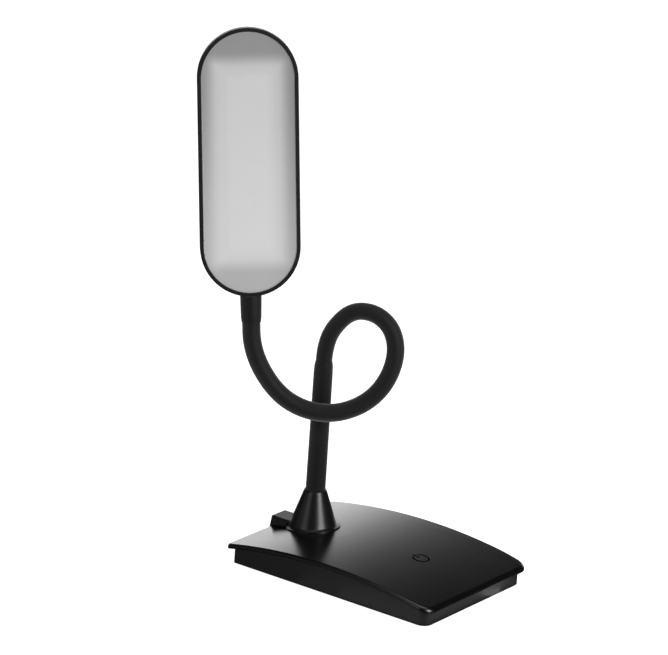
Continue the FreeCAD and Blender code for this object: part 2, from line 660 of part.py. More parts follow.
# neck links: cup at the lower end of each joint, ball above it
for k in range(len(JOINT_Q) - 1):
    q0, q1 = JOINT_Q[k], JOINT_Q[k + 1]
    bar = tube(spine(q0 + D("ball_set"), q1 - D("cup_set")), D("link_rad"))
    neck = tube(spine(q0, q0 + D("ball_set") + 1.0), D("ball_neck"))
    ball = Part.makeSphere(ball_r, point(q0))
    bore = tube(spine(q0 - 5.0, q1 + 2.0), D("link_bore"))
    cup = Part.makeSphere(cup_r, point(q1))
    link = bar.fuse([neck, ball]).cut(cup).cut(bore).removeSplitter()
    if link.ShapeType != "Solid" and len(link.Solids) == 1:
        link = link.Solids[0]
    solid_feature("neck_link_%02d" % (k + 1), link)

# rubber sleeve over the links
skin = tube(spine(1.0, TOTAL - 16.0), D("sleeve_rad"))
void = tube(spine(0.9, TOTAL - 15.9), D("sleeve_bore"))
solid_feature("neck_sleeve", skin.cut(void))

# cable from the control board through stem, links and ferrule into the head
route = [V(0, -4.95, 15.0), V(0, 20, 15.0), V(0, 38.5, 5.3), V(0, D("stem_y"), 5.3), V(0, D("stem_y"), 30.0)]
rads = [None, 14.0, 14.0, 5.6, None]


def rounded(points, radii, first_tail=None):
    """straight runs joined by tangent arcs"""
    edges, last = [], points[0]
    for i in range(1, len(points) - 1):
        u0 = points[i].sub(points[i - 1]).normalize()
        u1 = points[i + 1].sub(points[i]).normalize()
        turn = u0.getAngle(u1)
        t = radii[i] * math.tan(turn / 2)
        a, c = points[i].sub(u0 * t), points[i].add(u1 * t)
        axis = u0.cross(u1).normalize()
        mid = a.add(axis.cross(u0) * radii[i])
        m = mid.add(FreeCAD.Rotation(axis, math.degrees(turn / 2)).multVec(a.sub(mid)))
        if a.sub(last).Length > 1e-6:
            edges.append(Part.LineSegment(last, a).toShape())
        edges.append(Part.Arc(a, m, c).toShape())
        last = c
    edges.append(Part.LineSegment(last, points[-1]).toShape())
    return edges


lower = rounded(route, rads)
upper = spine(30.0 - NECK_P[0].z, TOTAL + 10.5).OrderedEdges
solid_feature("neck_cable", tube(Part.Wire(lower + list(upper)), D("cable_rad")))

lead = rounded([V(4, 81, 15.55), V(4, 81, 11.0), V(14, 64, 9.7), V(15, 30, 9.7), V(11.5, 8, 15.0), V(11.5, -4.95, 15.0)],
               [None, 2.0, 6.0, 14.0, 9.0, None])
solid_feature("inlet_lead", tube(Part.Wire(lead), 0.9))

# --------------------------------------------------------------------- inlet
wedge = doc.addObject("Part::Wedge", "hood_wedge")
bind(wedge, Xmin="0 - hood_foot_wid/2", Xmax="hood_foot_wid/2", Zmin="0 - hood_rear", Zmax="0 - hood_front",
     Ymin="hood_foot", Ymax="hood_top", X2min="0 - hood_top_wid/2", X2max="hood_top_wid/2",
     Z2min="0 - hood_rear + 0.4", Z2max="0 - hood_front")
wedge.Placement = FreeCAD.Placement(V(0, 0, 0), FreeCAD.Rotation(V(1, 0, 0), 90))
doc.recompute()
hood_round = doc.addObject("Part::Fillet", "hood_round")
hood_round.Base = wedge
hood_round.Edges = [(k + 1, 0.8, 0.8) for k, e in enumerate(wedge.Shape.Edges)
                    if min(v.Z for v in e.Vertexes) > D("hood_top") - 0.01 or
                    (max(v.Z for v in e.Vertexes) > D("hood_top") - 0.01 and min(v.Y for v in e.Vertexes) > 80)]
b = body("hood_clear_body")
s = sketch(b, "hood_clear_profile", role="XZ_Plane")
sk_profile(s, [("0", "10"), ("cone_foot_rad + 0.1", "10"), ("cone_foot_rad + 0.1", "19.6"), ("18.3", "19.6"),
               ("15.85", "26.3"), ("0", "26.3")])
revolve(b, "hood_clear_turned", s)
bind(b, Placement__Base__y="stem_y")
doc.recompute()
slot = box("hood_slot", "socket_wid + 0.4", "10", "socket_high + 0.4", "0 - socket_wid/2 - 0.2", "84",
           "socket_z - socket_high/2 - 0.2")
doc.recompute()
slot_round = doc.addObject("Part::Fillet", "hood_slot_round")
slot_round.Base = slot
slot_round.Edges = [(k + 1, 1.6, 1.6) for k, e in enumerate(slot.Shape.Edges)
                    if abs(e.Vertexes[0].X - e.Vertexes[-1].X) < 1e-6 and abs(e.Vertexes[0].Z - e.Vertexes[-1].Z) < 1e-6]
room = box("hood_room", "12.6", "8.4", "20", "0-6.3", "79.6", "0.6")
# the hood sits on the arch and reaches down behind the cover's back edge
over = box("hood_over_cover", "40", "40", "30", "0-20", "cover_len/2 + 0.03 - 40", "0")
node(cut("inlet_hood_body", hood_round, common("hood_seat", arch("arch_hood", "0 - 0.03"), over), b, slot_round, room),
     "inlet_hood")


def socket_form(n, grow, y0, y1, rad):
    o = box(n, "socket_wid + 2*(%s)" % grow, "%s - (%s)" % (y1, y0), "socket_high + 2*(%s)" % grow,
            "0 - socket_wid/2 - (%s)" % grow, y0, "socket_z - socket_high/2 - (%s)" % grow)
    doc.recompute()
    f = doc.addObject("Part::Fillet", n + "_round")
    f.Base = o
    f.Edges = [(k + 1, rad, rad) for k, e in enumerate(o.Shape.Edges)
               if abs(e.Vertexes[0].X - e.Vertexes[-1].X) < 1e-6 and abs(e.Vertexes[0].Z - e.Vertexes[-1].Z) < 1e-6]
    return f


node(cut("usb_shell_body", socket_form("usb_outer", "0", "hood_rear - 0.7 - socket_len", "hood_rear - 0.7", 1.5),
         socket_form("usb_inner", "0 - 0.3", "hood_rear + 0.3 - socket_len", "hood_rear + 1", 1.25)), "usb_socket_shell")
node(box("usb_tongue_body", "6.6", "5.4", "0.7", "0-3.3", "hood_rear + 0.3 - socket_len", "socket_z - 0.35"), "usb_socket_tongue")
node(box("inlet_board_body", "11.6", "8", "1", "0-5.8", "79.8", "socket_z - socket_high/2 - 1.05"), "inlet_board")

# ---------------------------------------------------------------------- head
UP = UNIT[-1]
VIEW = V(math.sin(math.radians(-54.4)), -math.cos(math.radians(-54.4)), 0)
front = VIEW.sub(UP * VIEW.dot(UP)).normalize()
front = FreeCAD.Rotation(UP, 4.5).multVec(front)
side = UP.cross(front)
BASIS = FreeCAD.Matrix(side.x, UP.x, front.x, 0, side.y, UP.y, front.y, 0, side.z, UP.z, front.z, 0, 0, 0, 0, 1)
TURN = FreeCAD.Rotation(BASIS)
CENTRE = NECK_P[END].add(UP * (D("head_len") / 2))
HEAD = FreeCAD.Placement(CENTRE, TURN)
# neck-end frame: z along the neck, origin at the foot of the head
TIP = FreeCAD.Placement(NECK_P[END], TURN.multiply(FreeCAD.Rotation(V(1, 0, 0), -90)))
print("head centre", [round(c, 3) for c in CENTRE], "side", [round(c, 5) for c in side], "up", [round(c, 5) for c in UP],
      "front", [round(c, 5) for c in front])


def placed(n, obj, where):
    """carry a piece modelled in its own frame to its place"""
    obj.Placement = where
    return node(obj, n)


half = "head_thick/2"
b = body("rear_body")
s = sketch(b, "rear_outline", lift="0 - " + half)
sk_stadium(s, "rear", "head_wid", "head_len")
p = pad(b, "rear_block", s, half + " + head_split")
fillet(b, "rear_round", edges_where(p.Shape, lambda e: max(v.Z for v in e.Vertexes) < -D("head_thick") / 2 + 1e-6), "3")
s = sketch(b, "rear_hollow", lift="head_split")
sk_stadium(s, "hollow", "head_wid - 2*head_wall", "head_len - 2*head_wall")
pocket(b, "rear_cavity", s, "head_split + %s - head_back" % half)
s = sketch(b, "rear_bosses", lift="0 - %s + head_back" % half)
for k, (a, c) in enumerate(four):
    sk_circle(s, "boss%d" % k, "3", "%d*headscrew_x" % a, "%d*headscrew_y" % c)
pad(b, "rear_boss_set", s, "1.5")
s = sketch(b, "rear_pilots", lift="0 - %s + 0.7" % half)
for k, (a, c) in enumerate(four):
    sk_circle(s, "pilot%d" % k, "1.25", "%d*headscrew_x" % a, "%d*headscrew_y" % c)
pocket(b, "rear_pilot_set", s, "4", up=True)
s = sketch(b, "rear_entry", role="XZ_Plane", lift="head_len/2 - 6")
sk_circle(s, "entry", "3.3")
pocket(b, "rear_entry_hole", s, "20", up=True)
placed("head_rear_shell", b, HEAD)

b = body("bezel_body")
s = sketch(b, "bezel_outline", lift="head_split")
sk_stadium(s, "outer", "head_wid", "head_len")
sk_stadium(s, "inner", "head_wid - 2*lens_rim", "head_len - 2*lens_rim")
p = pad(b, "bezel_ring", s, half + " - head_split")
fillet(b, "bezel_round", edges_where(p.Shape, lambda e: min(v.Z for v in e.Vertexes) > D("head_thick") / 2 - 1e-6 and
                                     max(abs(v.Y) for v in e.Vertexes) > 0 and
                                     max(math.hypot(v.X, max(0, abs(v.Y) - 60.5)) for v in e.Vertexes) > 35.4), "1.0")
s = sketch(b, "bezel_seat", lift="head_split")
sk_stadium(s, "seat", "lens_wid + 0.3", "lens_len + 0.3")
pocket(b, "bezel_rebate", s, "lens_thick + 0.06", up=True)
placed("head_bezel", b, HEAD)

b = body("lens_body")
s = sketch(b, "lens_outline", lift="head_split + 0.02")
sk_stadium(s, "lens", "lens_wid", "lens_len")
pad(b, "lens_sheet", s, "lens_thick")
placed("diffuser", b, HEAD)

seat_z = "0 - %s + head_back + 1.5" % half
b = body("spreader_body")
s = sketch(b, "spreader_outline", lift=seat_z)
sk_rect(s, "spreader", "spreader_wid", "spreader_len")
p = pad(b, "spreader_sheet", s, "spreader_thick")
fillet(b, "spreader_corners", edges_where(p.Shape, at_corner), "4")
s = sketch(b, "spreader_holes", lift=seat_z)
for k, (a, c) in enumerate(four):
    sk_circle(s, "hole%d" % k, "1.45", "%d*headscrew_x" % a, "%d*headscrew_y" % c)
pocket(b, "spreader_drill", s, "spreader_thick + 1", up=True)
placed("heat_spreader", b, HEAD)

deck = seat_z + " + spreader_thick"
b = body("ledboard_body")
s = sketch(b, "ledboard_outline", lift=deck)
sk_rect(s, "ledboard", "ledboard_wid", "ledboard_len")
p = pad(b, "ledboard_sheet", s, "ledboard_thick")
fillet(b, "ledboard_corners", edges_where(p.Shape, at_corner), "2.5")
placed("led_board", b, HEAD)

chips = []
for i in range(3):
    for j in range(12):
        chips.append(box("led", "chip_wid", "chip_len", "chip_high", "%r - chip_wid/2" % (-12.0 + 12 * i) if i else "0 - 12 - chip_wid/2",
                         ("0 - %r - chip_len/2" % (55.0 - 10 * j)) if j < 6 else ("%r - chip_len/2" % (10 * j - 55.0)),
                         deck + " + ledboard_thick"))
placed("led_chips", group("led_set", *chips), HEAD)

# reflector dish: sloping white walls round the board, notch for the wires
b = body("dish_body")
s0 = sketch(b, "dish_low", lift=deck)
sk_rect(s0, "low", "54", "139")
s1 = sketch(b, "dish_high", lift="head_split - 0.5")
sk_rect(s1, "high", "60", "145")
doc.recompute()
loft = b.newObject("PartDesign::AdditiveLoft", "dish_block")
loft.Profile = s0
loft.Sections = [s1]
loft.Ruled = True
doc.recompute()
before = b.Shape.Volume
s0 = sketch(b, "dish_in_low", lift=deck + " + 0.6")
sk_rect(s0, "in_low", "53", "138")
s1 = sketch(b, "dish_in_high", lift="head_split + 0.3")
sk_rect(s1, "in_high", "59", "144")
doc.recompute()
loft = b.newObject("PartDesign::SubtractiveLoft", "dish_hollow")
loft.Profile = s0
loft.Sections = [s1]
loft.Ruled = True
doc.recompute()
if not b.Shape.Volume < before * 0.5:
    raise RuntimeError("reflector not hollow")
s = sketch(b, "dish_window", lift=deck)
sk_rect(s, "window", "ledboard_wid + 1", "ledboard_len + 1")
pocket(b, "dish_opening", s, "1", up=True)
s = sketch(b, "dish_holes", lift=deck)
for k, (a, c) in enumerate(four):
    sk_circle(s, "hole%d" % k, "1.45", "%d*headscrew_x" % a, "%d*headscrew_y" % c)
pocket(b, "dish_drill", s, "1", up=True)
s = sketch(b, "dish_notch", lift=deck)
sk_rect(s, "notch", "6", "16", "0 - 66")
pocket(b, "dish_wire_notch", s, "3.6", up=True)
placed("reflector_dish", b, HEAD)

placed("head_screws", screws("head_screw_set", [("%d*headscrew_x" % a, "%d*headscrew_y" % c) for a, c in four],
                             "2.1", "1.3", deck + " + 0.6", "1.2", "0 - %s + 0.8" % half, False), HEAD)
wires = []
for sx in (-1, 1):
    w = doc.addObject("Part::Cylinder", "head_wire")
    bind(w, Radius="0.55", Height="26.8")
    w.Placement = FreeCAD.Placement(V(0.75 * sx, -85.3, 0.05), FreeCAD.Rotation(V(1, 0, 0), -90))
    wires.append(w)
doc.recompute()
for w in wires:
    bind(w, Placement__Base__z=deck + " + ledboard_thick + 0.6")
placed("head_wires", group("head_wire_set", *wires), HEAD)

# ferrule on the end of the core, held in the head by a spring clip
FQ = Q_NOD - TOTAL
b = body("ferrule_body")
s = sketch(b, "ferrule_profile", role="XZ_Plane")
sk_profile(s, [("link_bore", "%r + ball_set - 1" % FQ), ("ball_neck", "%r + ball_set - 1" % FQ), ("ball_neck", "%r + ball_set" % FQ),
               ("link_rad", "%r + ball_set" % FQ), ("link_rad", "0 - 0.1"), ("3.2", "0 - 0.1"), ("3.2", "2.0"),
               ("2.4", "2.0"), ("2.4", "3.05"), ("3.2", "3.05"), ("3.2", "10"), ("link_bore", "10")])
revolve(b, "ferrule_turned", s)
b.Placement = TIP
ball = doc.addObject("Part::Feature", "ferrule_ball")
ball.Shape = Part.makeSphere(ball_r, point(Q_NOD)).fuse(tube(spine(Q_NOD, Q_NOD + D("ball_set")), D("ball_neck"))).cut(
    tube(spine(Q_NOD - 6, Q_NOD + D("ball_set") + 1), D("link_bore")))
ball.Placement = FreeCAD.Placement()
node(fuse("neck_ferrule_body", b, ball), "neck_ferrule")

b = body("clip_body")
s = sketch(b, "clip_outline", lift="2.12")
sk_circle(s, "rim", "4.1")
sk_circle(s, "bore", "2.5")
pad(b, "clip_disc", s, "0.8")
s = sketch(b, "clip_mouth", lift="2.12")
sk_rect(s, "mouth", "4.4", "4", "3")
pocket(b, "clip_open", s, "2", up=True)
placed("head_clip", b, TIP)

# collar between neck sleeve and head, its top follows the head's round end
b = body("collar_body")
s = sketch(b, "collar_profile", role="XZ_Plane")
sk_profile(s, [("6.6", "0 - collar_len"), ("collar_tip", "0 - collar_len"), ("7.4", "0 - collar_len + 3.4"), ("collar_top", "0 - 0.2"),
               ("collar_top", "1.2"), ("link_rad + 0.15", "1.2"), ("link_rad + 0.15", "0 - 15.5"), ("6.6", "0 - 15.5")])
revolve(b, "collar_turned", s)
b.Placement = TIP
end_round = doc.addObject("Part::Cylinder", "collar_end_round")
bind(end_round, Radius="head_wid/2 + 0.04", Height="30")
end_round.Placement = HEAD.multiply(FreeCAD.Placement(V(0, -(D("head_len") - D("head_wid")) / 2, -15), FreeCAD.Rotation()))
node(cut("neck_collar_body", b, end_round), "neck_collar")

# -------------------------------------------------------------- write pieces
doc.recompute()
bad = [o.Name for o in doc.Objects if any(w in ("Invalid", "Error") for w in o.State)]
if bad:
    raise RuntimeError("failed objects: %s" % bad)
for label, obj in PARTS:
    shape = obj.Shape
    if shape.isNull() or not shape.isValid():
        raise RuntimeError("bad shape: %s" % label)
    if not shape.Solids:
        raise RuntimeError("no solid: %s" % label)
if len(PARTS) > 60 or len(set(p[0] for p in PARTS)) != len(PARTS):
    raise RuntimeError("node list")
os.makedirs("parts", exist_ok=True)
for label, obj in PARTS:
    obj.Shape.exportStep("parts/%s.step" % label)
    bb = obj.Shape.BoundBox
    print("%-20s solids %2d  vol %9.1f  x %7.1f %7.1f  y %7.1f %7.1f  z %7.1f %7.1f" % (
        label, len(obj.Shape.Solids), obj.Shape.Volume, bb.XMin, bb.XMax, bb.YMin, bb.YMax, bb.ZMin, bb.ZMax))
print(len(PARTS), "nodes")
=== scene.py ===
import json
import math

import bmesh
import bpy
import numpy as np
from mathutils import Matrix, Vector


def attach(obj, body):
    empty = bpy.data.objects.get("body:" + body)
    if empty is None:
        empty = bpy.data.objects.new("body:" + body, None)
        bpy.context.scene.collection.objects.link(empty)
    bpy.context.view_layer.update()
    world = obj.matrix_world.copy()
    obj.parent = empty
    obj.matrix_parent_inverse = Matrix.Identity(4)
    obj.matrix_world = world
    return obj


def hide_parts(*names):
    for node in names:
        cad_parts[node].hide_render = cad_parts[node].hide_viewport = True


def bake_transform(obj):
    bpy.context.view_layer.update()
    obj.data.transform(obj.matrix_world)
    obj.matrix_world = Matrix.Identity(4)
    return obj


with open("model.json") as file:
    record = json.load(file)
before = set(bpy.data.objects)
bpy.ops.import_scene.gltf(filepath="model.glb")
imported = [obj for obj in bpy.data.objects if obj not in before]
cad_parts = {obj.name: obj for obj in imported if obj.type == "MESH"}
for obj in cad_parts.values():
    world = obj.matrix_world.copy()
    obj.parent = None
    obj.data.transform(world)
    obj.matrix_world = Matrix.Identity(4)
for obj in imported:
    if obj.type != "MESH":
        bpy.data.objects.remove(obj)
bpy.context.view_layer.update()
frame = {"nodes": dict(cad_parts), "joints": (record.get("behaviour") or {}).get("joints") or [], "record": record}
NODES = frame["nodes"]
MM = 0.001
scene = bpy.context.scene


# ------------------------------------------------------------------ mesh tools
def link(obj):
    scene.collection.objects.link(obj)
    return obj


def mesh_piece(name, verts, faces, matrix=None, sharp=None, weighted=False, panel=False):
    """A mesh piece from points in millimetres; sharp is the angle in degrees above which an edge stays hard."""
    me = bpy.data.meshes.new(name)
    place_at = matrix if matrix is not None else Matrix.Identity(4)
    me.from_pydata([place_at @ (Vector(v) * MM) for v in verts], [], faces)
    bm = bmesh.new()
    bm.from_mesh(me)
    bmesh.ops.remove_doubles(bm, verts=bm.verts, dist=1e-7)
    bmesh.ops.dissolve_degenerate(bm, edges=bm.edges, dist=1e-8)
    bmesh.ops.recalc_face_normals(bm, faces=bm.faces)
    bm.to_mesh(me)
    bm.free()
    me.polygons.foreach_set("use_smooth", [True] * len(me.polygons))
    if sharp is not None:
        me.set_sharp_from_angle(angle=math.radians(sharp))
    me.update()
    if panel:
        back_to = place_at.inverted()
        own = me.attributes.new("panel", "FLOAT_VECTOR", "POINT")
        own.data.foreach_set("vector", [c / MM for v in me.vertices for c in back_to @ v.co])
    obj = link(bpy.data.objects.new(name, me))
    if weighted:
        m = obj.modifiers.new("even_normals", "WEIGHTED_NORMAL")
        m.mode = "FACE_AREA"
        m.weight = 50
        m.keep_sharp = True
    return obj


def ring_faces(n, rings, closed_rings=False):
    """Quads between successive rings of n points."""
    faces = []
    last = rings if closed_rings else rings - 1
    for r in range(last):
        a, b = r * n, ((r + 1) % rings) * n
        for k in range(n):
            k2 = (k + 1) % n
            faces.append((a + k, a + k2, b + k2, b + k))
    return faces


def rounded_profile(points):
    """Profile points (r, z) or (r, z, round): each corner with a round becomes a short arc."""
    out = []
    n = len(points)
    for i, p in enumerate(points):
        if len(p) < 3 or p[2] <= 0 or i in (0, n - 1):
            out.append((p[0], p[1]))
            continue
        a, b, c = (Vector(q[:2]) for q in (points[i - 1], p, points[i + 1]))
        u, v = (a - b).normalized(), (c - b).normalized()
        half = math.acos(max(-1, min(1, u.dot(v)))) / 2
        t = min(p[2] / math.tan(half), (a - b).length * 0.49, (c - b).length * 0.49)
        rad = t * math.tan(half)
        centre = b + (u + v).normalized() * (rad / math.sin(half))
        s, e = b + u * t, b + v * t
        d0, d1 = s - centre, e - centre
        turn = d0.angle_signed(d1)
        steps = max(3, int(abs(math.degrees(turn)) / 9) + 1)
        for k in range(steps + 1):
            w = -turn * k / steps
            out.append((centre.x + d0.x * math.cos(w) - d0.y * math.sin(w),
                        centre.y + d0.x * math.sin(w) + d0.y * math.cos(w)))
    return out


def lathe(name, profile, matrix, n=96, closed=True, sharp=40, weighted=True):
    """A turned piece: profile points (r, z) about the matrix's z axis."""
    verts = []
    for r, z in profile:
        for k in range(n):
            a = 2 * math.pi * k / n
            verts.append((r * math.cos(a), r * math.sin(a), z))
    return mesh_piece(name, verts, ring_faces(n, len(profile), closed), matrix, sharp, weighted)


def stadium(rad, half, n=40):
    """Outline of a stadium: two half circles of that radius, half mm from the centre along y."""
    pts = []
    for k in range(n + 1):
        a = math.pi * k / n
        pts.append((rad * math.cos(a), half + rad * math.sin(a)))
    run = 24
    for k in range(1, run):
        pts.append((-rad, half - 2 * half * k / run))
    for k in range(n + 1):
        a = math.pi + math.pi * k / n
        pts.append((rad * math.cos(a), -half + rad * math.sin(a)))
    for k in range(1, run):
        pts.append((rad, -half + 2 * half * k / run))
    return pts


def stadium_piece(name, profile, rad, half, matrix, closed=True, sharp=40, weighted=True, panel=False):
    """A stadium-shaped piece: profile points (inset, z) carried along the outline."""
    verts, n = [], 0
    for inset, z in profile:
        ring = stadium(max(rad - inset, 0.0), half)
        n = len(ring)
        verts += [(x, y, z) for x, y in ring]
    return mesh_piece(name, verts, ring_faces(n, len(profile), closed), matrix, sharp, weighted, panel)


# ------------------------------------------------------------------- materials
def nodes_of(name):
    m = bpy.data.materials.new(name)
    m.use_nodes = True
    nt = m.node_tree
    bsdf = next(n for n in nt.nodes if n.type == "BSDF_PRINCIPLED")
    return m, nt, bsdf


def add(nt, kind, **values):
    n = nt.nodes.new(kind)
    for k, v in values.items():
        if k in n.inputs and not hasattr(n, k):
            n.inputs[k].default_value = v
        else:
            setattr(n, k, v)
    return n


def sock(n, key, value):
    n.inputs[key].default_value = value


def noise(nt, coord, scale, detail=3.0, rough=0.5, stretch=None):
    n = nt.nodes.new("ShaderNodeTexNoise")
    sock(n, "Scale", scale)
    sock(n, "Detail", detail)
    sock(n, "Roughness", rough)
    if stretch is not None:
        mp = nt.nodes.new("ShaderNodeMapping")
        mp.inputs["Scale"].default_value = stretch
        nt.links.new(coord, mp.inputs["Vector"])
        coord = mp.outputs["Vector"]
    nt.links.new(coord, n.inputs["Vector"])
    return n.outputs["Fac"]


def ramp(nt, fac, stops):
    n = nt.nodes.new("ShaderNodeValToRGB")
    el = n.color_ramp.elements
    while len(el) > 1:
        el.remove(el[-1])
    el[0].position, el[0].color = stops[0][0], (*stops[0][1], 1)
    for p, c in stops[1:]:
        e = el.new(p)
        e.color = (*c, 1)
    nt.links.new(fac, n.inputs["Fac"])
    return n.outputs["Color"]


def span(nt, fac, lo, hi, frm=(0.3, 0.7)):
    n = nt.nodes.new("ShaderNodeMapRange")
    n.clamp = True
    sock(n, "From Min", frm[0])
    sock(n, "From Max", frm[1])
    sock(n, "To Min", lo)
    sock(n, "To Max", hi)
    nt.links.new(fac, n.inputs["Value"])
    return n.outputs["Result"]


def bump(nt, height, strength, distance, under=None):
    n = nt.nodes.new("ShaderNodeBump")
    sock(n, "Strength", strength)
    sock(n, "Distance", distance)
    nt.links.new(height, n.inputs["Height"])
    if under is not None:
        nt.links.new(under, n.inputs["Normal"])
    return n.outputs["Normal"]


def place(nt):
    return nt.nodes.new("ShaderNodeTexCoord").outputs["Object"]


def moulded(name, dark, light, rough, grain, grain_depth, spec=0.5, coat=0.0, coat_rough=0.1, blotch=14.0, metallic=0.0,
            grain_strength=0.35, bloom=0.0):
    """Moulded plastic or rubber: a soft cloud in colour and gloss, and a fine spark-eroded grain."""
    m, nt, b = nodes_of(name)
    co = place(nt)
    cloud = noise(nt, co, blotch, 4.0, 0.55)
    fine = noise(nt, co, grain, 2.0, 0.6)
    nt.links.new(ramp(nt, cloud, [(0.0, dark), (1.0, light)]), b.inputs["Base Color"])
    nt.links.new(span(nt, cloud, rough[0], rough[1], (0.0, 1.0)), b.inputs["Roughness"])
    nt.links.new(bump(nt, fine, grain_strength, grain_depth), b.inputs["Normal"])
    sock(b, "Specular IOR Level", spec)
    sock(b, "Metallic", metallic)
    if coat:
        sock(b, "Coat Weight", coat)
        sock(b, "Coat Roughness", coat_rough)
    if bloom:
        # dusty bloom of silicone rubber, seen at a glancing angle
        sock(b, "Sheen Weight", bloom)
        sock(b, "Sheen Roughness", 0.50)
    return m


def metal(name, dark, light, rough, brush=(1.0, 1.0, 1.0), scale=900.0, depth=0.00002):
    m, nt, b = nodes_of(name)
    co = place(nt)
    line = noise(nt, co, scale, 3.0, 0.6, brush)
    cloud = noise(nt, co, 60.0, 3.0)
    nt.links.new(ramp(nt, cloud, [(0.3, dark), (0.7, light)]), b.inputs["Base Color"])
    nt.links.new(span(nt, line, rough[0], rough[1]), b.inputs["Roughness"])
    nt.links.new(bump(nt, line, 0.25, depth), b.inputs["Normal"])
    sock(b, "Metallic", 1.0)
    return m


MAT = {}
# satin shell of the base: very dark, fine moulded grain under a soft gloss
MAT["cover_black"] = moulded("cover_black", (0.0016, 0.0016, 0.0018), (0.0026, 0.0026, 0.0028), (0.225, 0.265),
                             2600.0, 0.000003, spec=0.5)
MAT["cone_black"] = moulded("cone_black", (0.0042, 0.0042, 0.0045), (0.0052, 0.0052, 0.0055), (0.30, 0.34),
                            2600.0, 0.000003, spec=0.5)
MAT["tray_black"] = moulded("tray_black", (0.0070, 0.0070, 0.0074), (0.0092, 0.0092, 0.0096), (0.33, 0.40),
                            2200.0, 0.00002, spec=0.4)
MAT["sleeve_black"] = moulded("sleeve_black", (0.0022, 0.0022, 0.0024), (0.0038, 0.0038, 0.0041), (0.55, 0.66),
                              1700.0, 0.00004, spec=0.16, blotch=30.0, bloom=0.26)
MAT["collar_black"] = moulded("collar_black", (0.0022, 0.0022, 0.0024), (0.0036, 0.0036, 0.0039), (0.50, 0.60),
                              1700.0, 0.00004, spec=0.18, blotch=30.0, bloom=0.19)
MAT["head_black"] = moulded("head_black", (0.0055, 0.0055, 0.0058), (0.0080, 0.0080, 0.0085), (0.36, 0.46),
                            2200.0, 0.00003, spec=0.3)
MAT["icon_grey"] = moulded("icon_grey", (0.0020, 0.0020, 0.0022), (0.0030, 0.0030, 0.0032), (0.60, 0.70),
                           3000.0, 0.000003, spec=0.0)
MAT["pad_rubber"] = moulded("pad_rubber", (0.018, 0.018, 0.019), (0.030, 0.030, 0.031), (0.80, 0.95),
                            900.0, 0.00020, spec=0.25, blotch=80.0, grain_strength=0.8)
MAT["component_black"] = moulded("component_black", (0.012, 0.012, 0.013), (0.022, 0.022, 0.023), (0.45, 0.6),
                                 2000.0, 0.00003)
MAT["foam_black"] = moulded("foam_black", (0.02, 0.02, 0.02), (0.04, 0.04, 0.04), (0.9, 0.98), 1200.0, 0.0002,
                            spec=0.2, grain_strength=0.8)
MAT["cable_black"] = moulded("cable_black", (0.012, 0.012, 0.012), (0.02, 0.02, 0.02), (0.45, 0.6), 2000.0, 0.00003)
MAT["board_green"] = moulded("board_green", (0.012, 0.085, 0.035), (0.020, 0.12, 0.05), (0.3, 0.42), 500.0, 0.00003,
                             blotch=300.0)
MAT["board_white"] = moulded("board_white", (0.78, 0.78, 0.76), (0.86, 0.86, 0.84), (0.35, 0.5), 600.0, 0.00003,
                             blotch=200.0)
MAT["led_yellow"] = moulded("led_yellow", (0.80, 0.62, 0.12), (0.92, 0.76, 0.22), (0.3, 0.45), 1500.0, 0.00002)
MAT["reflector_white"] = moulded("reflector_white", (0.82, 0.82, 0.82), (0.90, 0.90, 0.90), (0.45, 0.6), 1500.0, 0.00002)
MAT["ballast_steel"] = metal("ballast_steel", (0.42, 0.42, 0.43), (0.52, 0.52, 0.53), (0.35, 0.5), (1, 12, 1))
MAT["screw_steel"] = metal("screw_steel", (0.50, 0.50, 0.51), (0.60, 0.60, 0.61), (0.28, 0.42))
MAT["core_steel"] = metal("core_steel", (0.48, 0.48, 0.48), (0.58, 0.58, 0.58), (0.25, 0.4))
MAT["spacer_brass"] = metal("spacer_brass", (0.66, 0.48, 0.20), (0.76, 0.58, 0.28), (0.25, 0.4))
MAT["foil_copper"] = metal("foil_copper", (0.70, 0.38, 0.24), (0.80, 0.46, 0.30), (0.25, 0.4))
MAT["spreader_aluminium"] = metal("spreader_aluminium", (0.72, 0.72, 0.73), (0.80, 0.80, 0.81), (0.3, 0.45), (1, 10, 1))


def math_node(nt, op, a, b=None, c=None):
    n = nt.nodes.new("ShaderNodeMath")
    n.operation = op
    for i, v in enumerate((a, b, c)):
        if v is None:
            continue
        if isinstance(v, (int, float)):
            n.inputs[i].default_value = v
        else:
            nt.links.new(v, n.inputs[i])
    return n.outputs[0]


def smooth(nt, value, lo, hi, out_lo, out_hi):
    n = nt.nodes.new("ShaderNodeMapRange")
    n.interpolation_type = "SMOOTHSTEP"
    sock(n, "From Min", lo)
    sock(n, "From Max", hi)
    sock(n, "To Min", out_lo)
    sock(n, "To Max", out_hi)
    nt.links.new(value, n.inputs["Value"])
    return n.outputs["Result"]


def rect_distance(nt, x, y, cx, cy, hx, hy, rad):
    """Signed distance in mm from a rounded rectangle, negative inside."""
    dx = math_node(nt, "SUBTRACT", math_node(nt, "ABSOLUTE", math_node(nt, "SUBTRACT", x, cx)), hx - rad)
    dy = math_node(nt, "SUBTRACT", math_node(nt, "ABSOLUTE", math_node(nt, "SUBTRACT", y, cy)), hy - rad)
    ox, oy = math_node(nt, "MAXIMUM", dx, 0.0), math_node(nt, "MAXIMUM", dy, 0.0)
    far = math_node(nt, "SQRT", math_node(nt, "ADD", math_node(nt, "MULTIPLY", ox, ox), math_node(nt, "MULTIPLY", oy, oy)))
    near = math_node(nt, "MINIMUM", math_node(nt, "MAXIMUM", dx, dy), 0.0)
    return math_node(nt, "SUBTRACT", math_node(nt, "ADD", far, near), rad)


